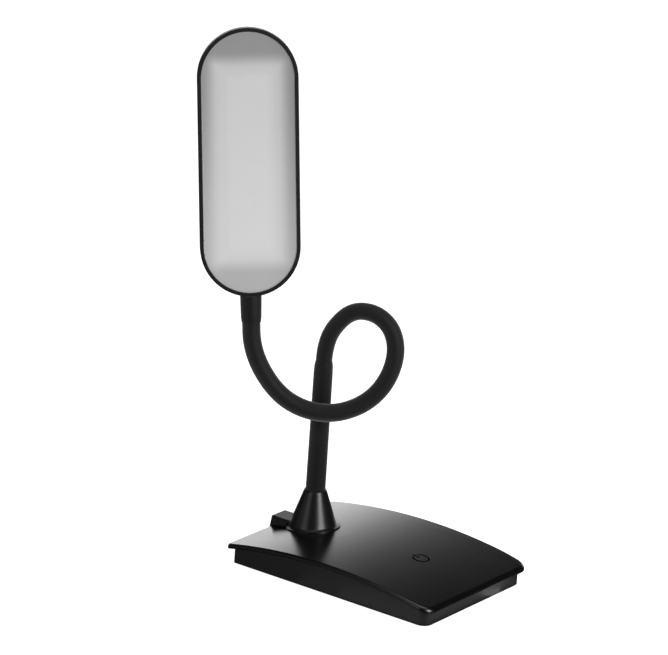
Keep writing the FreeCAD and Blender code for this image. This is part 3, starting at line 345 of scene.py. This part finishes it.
def opal(name):
    """Opal sheet with light and shade painted into its colour: a painted soft bright panel where the white reflector
    would show through, painted shade where the dark housing would dim its surround.
    """
    m, nt, b = nodes_of(name)
    co = place(nt)
    own = nt.nodes.new("ShaderNodeAttribute")
    own.attribute_name = "panel"
    sep = nt.nodes.new("ShaderNodeSeparateXYZ")
    nt.links.new(own.outputs["Vector"], sep.inputs[0])
    x, y = sep.outputs["X"], sep.outputs["Y"]
    # painted glow of the reflector's mouth, soft at its sides and softer at its ends
    wide = rect_distance(nt, x, y, 0.0, 0.0, 29.5, 76.6, 7.0)
    painted_glow = math_node(nt, "ADD", smooth(nt, wide, -9.0, 3.0, 0.0, 0.72), smooth(nt, wide, -19.0, 0.0, 0.0, 0.28))
    # painted shade at the ends: the top one darker than the bottom one
    end = smooth(nt, y, -70.0, 70.0, 0.0, 1.0)
    edge = math_node(nt, "ADD", 0.34, math_node(nt, "MULTIPLY", end, 0.19))
    shade = math_node(nt, "SUBTRACT", 1.0, math_node(nt, "MULTIPLY", painted_glow, edge))
    # painted shade falling off softly towards the right side, none towards the left one
    side = math_node(nt, "MULTIPLY", smooth(nt, x, 12.0, 33.5, 1.0, 0.88), smooth(nt, x, -33.5, -14.0, 1.08, 1.0))
    shade = math_node(nt, "MULTIPLY", shade, side)
    # painted light rising slowly down the panel
    painted_rise_down = smooth(nt, y, -75.0, 75.0, 1.04, 0.94)
    shade = math_node(nt, "MULTIPLY", shade, painted_rise_down)
    # painted faint shade line of the board's edge behind the sheet
    painted_board_edge_shade = rect_distance(nt, x, y, 1.4, 1.1, 17.9, 63.1, 3.0)
    line = smooth(nt, math_node(nt, "ABSOLUTE", painted_board_edge_shade), 0.15, 0.75, 0.972, 1.0)
    shade = math_node(nt, "MULTIPLY", shade, line)
    # faint mottle of the sheet
    mot = span(nt, noise(nt, co, 90.0, 4.0, 0.55), 0.990, 1.010)
    shade = math_node(nt, "MULTIPLY", shade, mot)
    col = nt.nodes.new("ShaderNodeCombineColor")
    for k, gain in zip(("Red", "Green", "Blue"), (0.470, 0.470, 0.473)):
        nt.links.new(math_node(nt, "MULTIPLY", shade, gain), col.inputs[k])
    nt.links.new(col.outputs[0], b.inputs["Base Color"])
    fine = noise(nt, co, 2600.0, 2.0)
    nt.links.new(span(nt, fine, 0.52, 0.60), b.inputs["Roughness"])
    nt.links.new(bump(nt, fine, 0.15, 0.00001), b.inputs["Normal"])
    sock(b, "Specular IOR Level", 0.3)
    return m


# opal diffuser: its colour holds painted light and painted shade
MAT["opal_diffuser"] = opal("opal_diffuser")


def wear(obj, slot):
    obj.data.materials.clear()
    obj.data.materials.append(MAT[slot])


def finish_piece(obj, body, slot, *nodes):
    wear(obj, slot)
    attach(obj, body)
    if nodes:
        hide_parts(*nodes)
    return obj


# every carried-over CAD node takes its slot's material
for row in frame["record"]["subparts"]:
    wear(NODES[row["node"]], row["material_slot"])

# ------------------------------------------------------------------------ base
APEX, ARCH = 24.1, 440.1


def crown(y):
    return APEX - ARCH + math.sqrt(ARCH * ARCH - y * y)


def plan(wid, length, r_front, r_back, off, n_arc=12, n_long=44, n_short=20):
    """Rounded plan outline, off mm inside its edge, counter-clockwise from the right front corner."""
    hx, hy = wid / 2, length / 2
    out = []
    for (sx, sy, r, a0) in ((1, -1, r_front, -90), (1, 1, r_back, 0), (-1, 1, r_back, 90), (-1, -1, r_front, 180)):
        cx, cy = sx * (hx - r), sy * (hy - r)
        q = max(r - off, 0.02)
        arc = []
        for k in range(n_arc + 1):
            a = math.radians(a0 + 90.0 * k / n_arc)
            arc.append((cx + q * math.cos(a) - (max(off - r, 0)) * sx, cy + q * math.sin(a) - (max(off - r, 0)) * sy))
        out.append(arc)
    pts = []
    for i in range(4):
        pts += out[i]
        a, b = out[i][-1], out[(i + 1) % 4][0]
        n = n_long if i % 2 == 0 else n_short
        for k in range(1, n):
            pts.append((a[0] + (b[0] - a[0]) * k / n, a[1] + (b[1] - a[1]) * k / n))
    return pts


def cover_piece():
    """Arched cover: soft top edge, rounder towards the front, plain rim, flange and hollow underside."""
    wid, length, rf, rb = 128.0, 180.0, 10.0, 3.5
    rim = 3.6
    base = plan(wid, length, rf, rb, 0.0)

    def round_at(y):
        t = min(1.0, max(0.0, (-62.0 - y) / 26.0))
        return 1.7 + 1.5 * t * t * (3 - 2 * t)

    # inward direction of each outline point, from a slightly smaller outline
    inner = plan(wid, length, rf, rb, 0.5)
    ins = [((b[0] - a[0]) / 0.5, (b[1] - a[1]) / 0.5) for a, b in zip(base, inner)]
    rings = []

    def ring(offs, drop):
        r = []
        for (x, y), (ix, iy), e in zip(base, ins, [round_at(p[1]) for p in base]):
            px, py = x + ix * offs(e), y + iy * offs(e)
            r.append((px, py, crown(max(-90, min(90, py))) - drop(e)))
        rings.append(r)

    # hollow underside first, then flange, rim, round and top
    hx, hy = 58.5, 84.5
    hollow = plan(117.0, 169.0, 6.5, 3.0, 0.0)
    rings.append([(0.0, max(-26.0, min(26.0, y)), crown(y if abs(y) < 26 else math.copysign(26, y)) - 2.2) for x, y in hollow])
    for t in (0.75, 0.5, 0.25, 0.0):
        r = []
        for x, y in hollow:
            my = max(-26.0, min(26.0, y))
            px, py = x * t + x * (1 - t) if t == 0 else x * (1 - t), y + (my - y) * t
            r.append((px, py, crown(py) - 2.2))
        rings.append(r)
    rings.append([(x, y, crown(y) - rim + 0.25) for x, y in hollow])
    rings.append([(x + math.copysign(0.25, x) * 0, y, crown(y) - rim) for x, y in hollow])
    ring(lambda e: 0.30, lambda e: rim)
    ring(lambda e: 0.09, lambda e: rim - 0.09)
    ring(lambda e: 0.0, lambda e: rim - 0.30)
    ring(lambda e: 0.0, lambda e: e + 0.02 * (rim - e))
    steps = 10
    for k in range(steps + 1):
        a = math.radians(90.0 * k / steps)
        ring(lambda e, a=a: e * (1 - math.cos(a)), lambda e, a=a: e * (1 - math.sin(a)))
    edge = rings[-1]
    for t in (0.004, 0.03, 0.07, 0.12, 0.18, 0.25, 0.33, 0.41, 0.5, 0.59, 0.68, 0.77, 0.86, 0.94, 1.0):
        r = []
        for x, y, _ in edge:
            my = max(-26.0, min(26.0, y))
            px, py = x * (1 - t), y + (my - y) * t
            r.append((px, py, crown(py)))
        rings.append(r)
    verts = [p for r in rings for p in r]
    n = len(base)
    return mesh_piece("cover_shell", verts, ring_faces(n, len(rings)), None, 32, True)


finish_piece(cover_piece(), "base", "cover_black", "base_cover")


def tray_lip():
    """Thin lip that carries the tray's wall down around the pad, just clear of the table."""
    rings = []
    for off, z in ((0.01, 1.2), (0.01, 0.55), (0.06, 0.42), (0.2, 0.35), (1.8, 0.35), (1.8, 1.2)):
        rings.append([(x, y, z) for x, y in plan(119.8, 171.8, 7.0, 2.0, off)])
    verts = [p for r in rings for p in r]
    return mesh_piece("tray_lip", verts, ring_faces(len(rings[0]), len(rings), True), None, 40, True)


finish_piece(tray_lip(), "base", "tray_black")


def touch_symbol():
    """Power sign let into the crown: an open ring and a bar, slightly below the surface's sheen."""
    verts, faces = [], []
    lift = 0.035

    def strip(left, right):
        base_i = len(verts)
        for (ax, ay), (bx, by) in zip(left, right):
            for px, py, dz in ((ax, ay, -0.25), (ax, ay, lift * 0.4), (ax * 0.92 + bx * 0.08, ay * 0.92 + by * 0.08, lift),
                               (ax * 0.08 + bx * 0.92, ay * 0.08 + by * 0.92, lift), (bx, by, lift * 0.4), (bx, by, -0.25)):
                verts.append((px, py, crown(py) + dz))
        m = len(left)
        for i in range(m - 1):
            for k in range(5):
                a = base_i + i * 6 + k
                faces.append((a, a + 1, a + 7, a + 6))
        for end in (0, m - 1):
            faces.append(tuple(base_i + end * 6 + k for k in range(6)))

    r0, r1, mid = 6.5 - 1.4, 6.5, -37.6
    g = math.asin(2.8 / 5.9)
    ang = [math.pi / 2 + g + (2 * math.pi - 2 * g) * k / 72 for k in range(73)]
    strip([(r0 * math.cos(a), mid + r0 * math.sin(a)) for a in ang], [(r1 * math.cos(a), mid + r1 * math.sin(a)) for a in ang])
    ys = [mid + 1.2 + 6.2 * k / 8 for k in range(9)]
    strip([(-0.7, y) for y in ys], [(0.7, y) for y in ys])
    return mesh_piece("touch_symbol", verts, faces, None, 35, False)


finish_piece(touch_symbol(), "base", "icon_grey", "touch_icon")

# cone: straight flank, rolled lip at the top, thin flange that follows the arch at its foot
STEM_Y = 59.6
CONE_AXIS = Matrix.Translation(Vector((0, STEM_Y, 0)) * MM)


def cone_piece():
    n = 144
    rings = []

    def ring(rad, height):
        row = []
        for k in range(n):
            a = 2 * math.pi * k / n
            x, y = rad * math.cos(a), rad * math.sin(a)
            row.append((x, y, height(crown(STEM_Y + y))))
        rings.append(row)

    # bore and lip
    ring(4.6, lambda c: c + 0.05)
    ring(4.6, lambda c: 40.1)
    ring(7.36, lambda c: 40.1)
    ring(7.36, lambda c: 47.5)
    for rad, z in rounded_profile([(7.36, 47.5), (7.5, 49.0, 0.15), (7.9, 49.0, 0.35), (8.55, 47.8, 0.6), (9.7, 44.39)])[1:]:
        ring(rad, lambda c, z=z: z)

    # flank, running into the flange through a small hollow round
    def surface(rad):
        flank = 47.8 - (rad - 8.55) / 0.3375
        lift = 0.80
        edge = 20.0 - rad
        if edge < 0.15:
            lift = 0.65 + math.sqrt(max(0.15 ** 2 - (0.15 - edge) ** 2, 0.0))

        def height(c):
            d = flank - (c + lift)
            return c + lift + 0.5 * (d + math.sqrt(d * d + 4.0))
        return height

    for rad in list(np.linspace(10.2, 15.5, 14)) + list(np.linspace(15.8, 19.8, 36)) + [19.85, 19.89, 19.93, 19.96, 19.985, 20.0]:
        h = surface(rad)
        ring(rad, lambda c, h=h: max(h(c), c + 0.4))
    ring(20.0, lambda c: c + 0.05)
    verts = [p for r in rings for p in r]
    return mesh_piece("cone_shell", verts, ring_faces(n, len(rings), True), CONE_AXIS, 50, True)


finish_piece(cone_piece(), "base", "cone_black", "neck_cone")

# stem sleeve: tapered, its top drawn in to the thinner neck
stem_profile = rounded_profile([
    (4.4, 40.3), (7.28, 40.3), (7.28, 49.0), (7.26, 60.0), (6.98, 138.0, 30.0), (6.80, 144.0, 4.0), (6.25, 147.5, 1.0), (5.80, 147.9, 0.2),
    (5.1, 147.2), (5.1, 60.0)])
finish_piece(lathe("stem_skin", stem_profile, CONE_AXIS, 96, True, 50), "base", "sleeve_black", "stem_sleeve")

# ------------------------------------------------------------------------ neck
NECK = [
    (0.00, 59.60, 147.00), (0.00, 59.60, 163.81), (4.02, 48.44, 183.10),
    (9.80, 37.99, 189.79), (16.82, 24.64, 187.15), (21.27, 14.54, 175.86),
    (20.84, 10.62, 158.16), (14.49, 14.18, 137.51), (3.79, 24.50, 121.99),
    (-10.93, 41.27, 113.87), (-24.83, 59.95, 116.78), (-36.47, 76.46, 129.91),
    (-46.31, 90.58, 157.97), (-43.94, 96.08, 198.13),
]


def neck_line():
    """Smooth centre line through the neck's control points, as dense points in mm."""
    pts = list(NECK)
    a, b = Vector(NECK[-2]), Vector(NECK[-1])
    pts[-1:] = [tuple(a.lerp(b, 0.76)), tuple(b)]
    cu = bpy.data.curves.new("neck_line", "CURVE")
    cu.dimensions = "3D"
    cu.resolution_u = 48
    sp = cu.splines.new("NURBS")
    sp.points.add(len(pts) - 1)
    for p, c in zip(sp.points, pts):
        p.co = (*c, 1.0)
    sp.order_u = 3
    sp.use_endpoint_u = True
    ob = link(bpy.data.objects.new("neck_line", cu))
    bpy.context.view_layer.update()
    me = bpy.data.meshes.new_from_object(ob)
    co = np.array([v.co[:] for v in me.vertices], float)
    bpy.data.objects.remove(ob)
    bpy.data.curves.remove(cu)
    bpy.data.meshes.remove(me)
    return co


LINE = neck_line()
# drop repeated points, then measure along the line
keep = np.r_[True, np.linalg.norm(np.diff(LINE, axis=0), axis=1) > 1e-6]
LINE = LINE[keep]
# a straight lead-in inside the stem
lead = np.array([[0, STEM_Y, z] for z in np.arange(140.0, 146.9, 0.8)])
LINE = np.vstack([lead, LINE])
RUN = np.r_[0, np.cumsum(np.linalg.norm(np.diff(LINE, axis=0), axis=1))]
TOTAL = RUN[-1]


def on_line(q):
    return np.array([np.interp(q, RUN, LINE[:, k]) for k in range(3)])


def heading(q):
    d = on_line(min(q + 0.6, TOTAL)) - on_line(max(q - 0.6, 0.0))
    return d / np.linalg.norm(d)


JOINTS = frame["joints"]
AT = [np.array(j["pos_m"]) * 1000 for j in JOINTS]
qs = np.linspace(0, TOTAL, 6000)
pts = np.array([on_line(q) for q in qs])
JQ = [float(qs[np.argmin(np.linalg.norm(pts - a, axis=1))]) for a in AT]
CUT = [0.0] + [(a + b) / 2 for a, b in zip(JQ, JQ[1:])] + [TOTAL - 14.5]


def sleeve_radius(q):
    """Outside radius of the neck's sleeve: thinnest where it leaves the stem, thickest at the head."""
    return float(np.interp(q, [0, 14, 60, 110, 170, 255, 300], [5.95, 6.05, 6.28, 6.48, 6.60, 6.60, 6.56]))


def transported_frames(qq):
    """Sections along the line that don't twist."""
    t = heading(qq[0])
    u = np.cross(t, (1.0, 0.0, 0.0))
    u /= np.linalg.norm(u)
    out = []
    for q in qq:
        t2 = heading(q)
        u = u - t2 * (u @ t2)
        u /= np.linalg.norm(u)
        out.append((on_line(q), t2, u, np.cross(t2, u)))
    return out


STEP = 1.25
GRID = np.arange(0.0, TOTAL + STEP, STEP)
FRAMES = transported_frames(GRID)


def frame_at(q):
    i = int(np.clip(np.searchsorted(GRID, q), 1, len(GRID) - 1))
    c, t = on_line(q), heading(q)
    w = (q - GRID[i - 1]) / (GRID[i] - GRID[i - 1])
    u = FRAMES[i - 1][2] * (1 - w) + FRAMES[i][2] * w
    u = u - t * (u @ t)
    u /= np.linalg.norm(u)
    return c, t, u, np.cross(t, u)


def tube_piece(name, q0, q1, radius, n, wall):
    """A stretch of tube from q0 to q1, with a wall, its normals those of the whole tube."""
    count = max(4, int(math.ceil((q1 - q0) / STEP)))
    qq = np.linspace(q0, q1, count + 1)
    verts, normals = [], []
    for q in qq:
        c, t, u, v = frame_at(q)
        r = radius(q)
        for k in range(n):
            a = 2 * math.pi * k / n
            d = u * math.cos(a) + v * math.sin(a)
            verts.append(c + d * r)
            normals.append(d)
    for q in qq[::-1]:
        c, t, u, v = frame_at(q)
        r = radius(q) - wall
        for k in range(n):
            a = 2 * math.pi * k / n
            d = u * math.cos(a) + v * math.sin(a)
            verts.append(c + d * r)
            normals.append(-d)
    rings = 2 * len(qq)
    faces = []
    for r in range(rings - 1):
        if r == len(qq) - 1:
            continue  # the cut ends meet the next stretch and stay open
        for k in range(n):
            k2 = (k + 1) % n
            faces.append((r * n + k, r * n + k2, (r + 1) * n + k2, (r + 1) * n + k))
    me = bpy.data.meshes.new(name)
    me.from_pydata([tuple(c * MM) for c in verts], [], faces)
    me.polygons.foreach_set("use_smooth", [True] * len(me.polygons))
    me.update()
    me.normals_split_custom_set_from_vertices([tuple(d) for d in normals])
    return link(bpy.data.objects.new(name, me))


def neck_pieces(stem, radius, n, wall, slot, *nodes):
    for k, j in enumerate(JOINTS):
        q0, q1 = CUT[k], CUT[k + 1]
        ob = tube_piece("%s_%02d" % (stem, k + 1), q0, q1, radius, n, wall)
        wear(ob, slot)
        # points 8 mm either side of the joint, kept 1.8 mm short of the cuts, are worked out on the line but not used
        s, e = max(q0 + 1.8, JQ[k] - 8.0), min(q1 - 1.8, JQ[k] + 8.0)
        tuple(on_line(s) * MM)
        tuple(on_line(e) * MM)
        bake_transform(ob)
        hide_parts(*nodes)


neck_pieces("neck_skin", sleeve_radius, 56, 0.75, "sleeve_black", "neck_sleeve")
neck_pieces("neck_wire", lambda q: 1.3, 16, 0.5, "cable_black", "neck_cable")

# ------------------------------------------------------------------------ head
SIDE, UP, FRONT = Vector((0.64234, -0.76351, 0.06666)), Vector((0.05837, 0.13545, 0.98906)), Vector((-0.76419, -0.63143, 0.13157))
TIP = Vector(NECK[-1])
CENTRE = TIP + UP * 96.0


def axes(x, y, z, origin):
    m = Matrix((x, y, z)).transposed().to_4x4()
    m.translation = origin * MM
    return m


HEAD = axes(SIDE, UP, FRONT, CENTRE)
COLLAR = axes(SIDE, SIDE.cross(UP) * -1, UP, TIP)
R_HEAD, HALF = 35.9, 60.1

shell_profile = rounded_profile([
    (R_HEAD, -6.8), (18.0, -6.8), (6.0, -6.8), (0.0, -6.8, 3.0), (0.0, 3.9), (0.0, 4.28, 0.12), (0.9, 4.28), (1.8, 4.28), (1.8, -4.9),
    (R_HEAD, -4.9)])
finish_piece(stadium_piece("head_shell", shell_profile, R_HEAD, HALF, HEAD, False, 40), "head", "head_black", "head_rear_shell")

bezel_profile = rounded_profile([
    (1.35, 4.32), (0.12, 4.32), (0.0, 4.44, 0.1), (0.0, 5.6), (0.0, 6.8, 0.85), (2.75, 6.8, 0.3), (2.75, 6.06), (1.35, 6.06)])
finish_piece(stadium_piece("head_rim", bezel_profile, R_HEAD, HALF, HEAD, True, 50), "head", "head_black", "head_bezel")

# lens sheet: its opal colour carries painted light and painted shade
lens_profile = rounded_profile([
    (R_HEAD, 4.34), (1.56, 4.34), (1.56, 6.0), (2.45, 6.02), (2.78, 6.18, 0.1), (3.15, 6.18, 0.14), (3.45, 6.02, 0.2), (6.0, 6.02), (18.0, 6.02), (R_HEAD, 6.02)])
finish_piece(stadium_piece("lens_sheet", lens_profile, R_HEAD, HALF, HEAD, False, 60, True, True), "head", "opal_diffuser", "diffuser")


def collar_piece():
    """Tapered collar; its top ring is drawn up to the head's round end."""
    prof = rounded_profile([
        (6.65, -15.4), (6.65, -19.4), (6.95, -19.4, 0.1), (7.4, -16.0, 3.0), (7.6, -8.0, 20.0), (7.76, -0.2), (7.76, 1.0), (4.5, 1.0), (4.5, -15.4)])
    n = 96
    verts = []
    centre_y = R_HEAD  # the head's lower round, above the tip
    for r, z in prof:
        for k in range(n):
            a = 2 * math.pi * k / n
            x, d = r * math.cos(a), r * math.sin(a)
            top = centre_y - math.sqrt(max((R_HEAD + 0.02) ** 2 - x * x, 0.0))
            zz = z if z < -0.5 else top - (0.35 if z < 0.5 else 0.02)
            verts.append((x, d, zz))
    return mesh_piece("neck_collar_skin", verts, ring_faces(n, len(prof), True), COLLAR, 50, True)


finish_piece(collar_piece(), "head", "collar_black", "neck_collar")

# ------------------------------------------------------------- stage and light
floor_me = bpy.data.meshes.new("floor")
floor_me.from_pydata([(-9, -9, 0), (9, -9, 0), (9, 9, 0), (-9, 9, 0)], [], [(0, 1, 2, 3)])
floor = link(bpy.data.objects.new("floor", floor_me))
floor.location.z = -0.00005
fm, fnt, fb = nodes_of("floor_white")
fco = place(fnt)
fnt.links.new(ramp(fnt, noise(fnt, fco, 3.0, 3.0), [(0.3, (0.80, 0.80, 0.80)), (0.7, (0.82, 0.82, 0.82))]), fb.inputs["Base Color"])
sock(fb, "Roughness", 0.9)
sock(fb, "Specular IOR Level", 0.1)
# the lamp stands on a light table, which keeps the ground white up to the base
sock(fb, "Emission Color", (1.0, 1.0, 1.0, 1.0))
sock(fb, "Emission Strength", 0.85)
floor_me.materials.append(fm)
floor.visible_glossy = False

BACK_GLOW, TOP_LIGHT, FILL = 4.25, 2.2, 0.30
world = bpy.data.worlds.new("studio")
scene.world = world
world.use_nodes = True
wnt = world.node_tree
bg = next(n for n in wnt.nodes if n.type == "BACKGROUND")
wco = wnt.nodes.new("ShaderNodeTexCoord")
wsep = wnt.nodes.new("ShaderNodeSeparateXYZ")
wnt.links.new(wco.outputs["Generated"], wsep.inputs[0])
far = wnt.nodes.new("ShaderNodeVectorMath")
far.operation = "DOT_PRODUCT"
wnt.links.new(wco.outputs["Generated"], far.inputs[0])
far.inputs[1].default_value = (0.8131, 0.5821, 0.0)
rise = wsep.outputs["Z"]
glow = math_node(wnt, "MULTIPLY", smooth(wnt, rise, 0.05, 0.40, 1.0, 0.0), smooth(wnt, far.outputs["Value"], 0.70, 0.93, 0.0, 1.0))
glow = math_node(wnt, "MULTIPLY", glow, smooth(wnt, rise, -0.10, 0.20, 0.0, 1.0))
top = smooth(wnt, rise, 0.89, 0.97, 0.0, 1.0)
low = smooth(wnt, rise, -0.16, -0.02, 0.06, 0.018)
# a dim fill behind the lamp on its left, mirrored in the hood's flank and the tubes' left sides
beside = wnt.nodes.new("ShaderNodeVectorMath")
beside.operation = "DOT_PRODUCT"
wnt.links.new(wco.outputs["Generated"], beside.inputs[0])
beside.inputs[1].default_value = (-0.832, 0.555, 0.0)
fill = math_node(wnt, "MULTIPLY", smooth(wnt, beside.outputs["Value"], 0.80, 0.96, 0.0, FILL), smooth(wnt, rise, -0.12, 0.0, 0.0, 1.0))
fill = math_node(wnt, "MULTIPLY", fill, smooth(wnt, rise, 0.10, 0.35, 1.0, 0.0))
low = math_node(wnt, "ADD", low, fill)
sky = math_node(wnt, "ADD", math_node(wnt, "MULTIPLY", glow, BACK_GLOW), math_node(wnt, "ADD", math_node(wnt, "MULTIPLY", top, TOP_LIGHT), low))
wnt.links.new(sky, bg.inputs["Strength"])
bg.inputs["Color"].default_value = (1.0, 1.0, 1.0, 1.0)


def softbox(name, az, el, dist, size, power, target=(0, 0.03, 0.12)):
    """A soft rectangular light; azimuth 0 is on the camera's side, positive to its right."""
    a = math.radians(-54.4 + az)
    e = math.radians(el)
    back = Vector((math.sin(a) * math.cos(e), -math.cos(a) * math.cos(e), math.sin(e)))
    la = bpy.data.lights.new(name, "AREA")
    la.shape = "RECTANGLE"
    la.size, la.size_y = size
    la.energy = power
    ob = link(bpy.data.objects.new(name, la))
    ob.location = Vector(target) + back * dist
    ob.rotation_mode = "QUATERNION"
    ob.rotation_quaternion = (-back).to_track_quat("-Z", "Y")
    return ob


softbox("strip_right", 43, 22, 1.6, (0.70, 1.0), 20.8)
softbox("strip_left", -47, 22, 1.6, (0.70, 1.0), 2.7)


def table_glow(name, x, y, size, radiance, turn=0.0):
    """A brighter patch of the light table, mirrored softly in the tray's walls; x, y and size in mm, turn in degrees."""
    la = bpy.data.lights.new(name, "AREA")
    la.shape = "RECTANGLE"
    la.size, la.size_y = size[0] * MM, size[1] * MM
    la.energy = radiance * math.pi * la.size * la.size_y
    ob = link(bpy.data.objects.new(name, la))
    ob.location = (x * MM, y * MM, 0.0006)
    ob.rotation_euler = (math.pi, 0.0, math.radians(turn))
    return ob


table_glow("table_glow_front", 41, -100, (46, 15), 0.95, -35.6)
table_glow("table_glow_corner", -46, -114, (16, 16), 1.0)
table_glow("table_glow_end", 0, -106, (120, 34), 0.30)
table_glow("table_glow_rim_end", 33, -118, (130, 16), 0.12)
table_glow("table_glow_rim_side", -110, 20, (28, 200), 0.10)
table_glow("table_glow_side_long", -80, -25, (36, 110), 0.16)
table_glow("table_glow_side_short", -80, -50, (36, 90), 0.20)

# ---------------------------------------------------------------------- camera
cam_data = bpy.data.cameras.new("camera")
cam = link(bpy.data.objects.new("camera", cam_data))
right = Vector((0.59723, -0.799541, 0.063638))
upward = Vector((0.206047, 0.229621, 0.95122))
backward = Vector((-0.775152, -0.554985, 0.301879))
cam.matrix_world = axes(right, upward, backward, Vector((-1950.86, -1344.06, 934.63)))
cam_data.sensor_width = 36.0
cam_data.lens = 36.0 * 3495.854 / 668.0
cam_data.clip_start, cam_data.clip_end = 0.05, 60.0
scene.camera = cam
scene.view_settings.view_transform = "Standard"
scene.view_settings.look = "None"

bpy.context.view_layer.update()
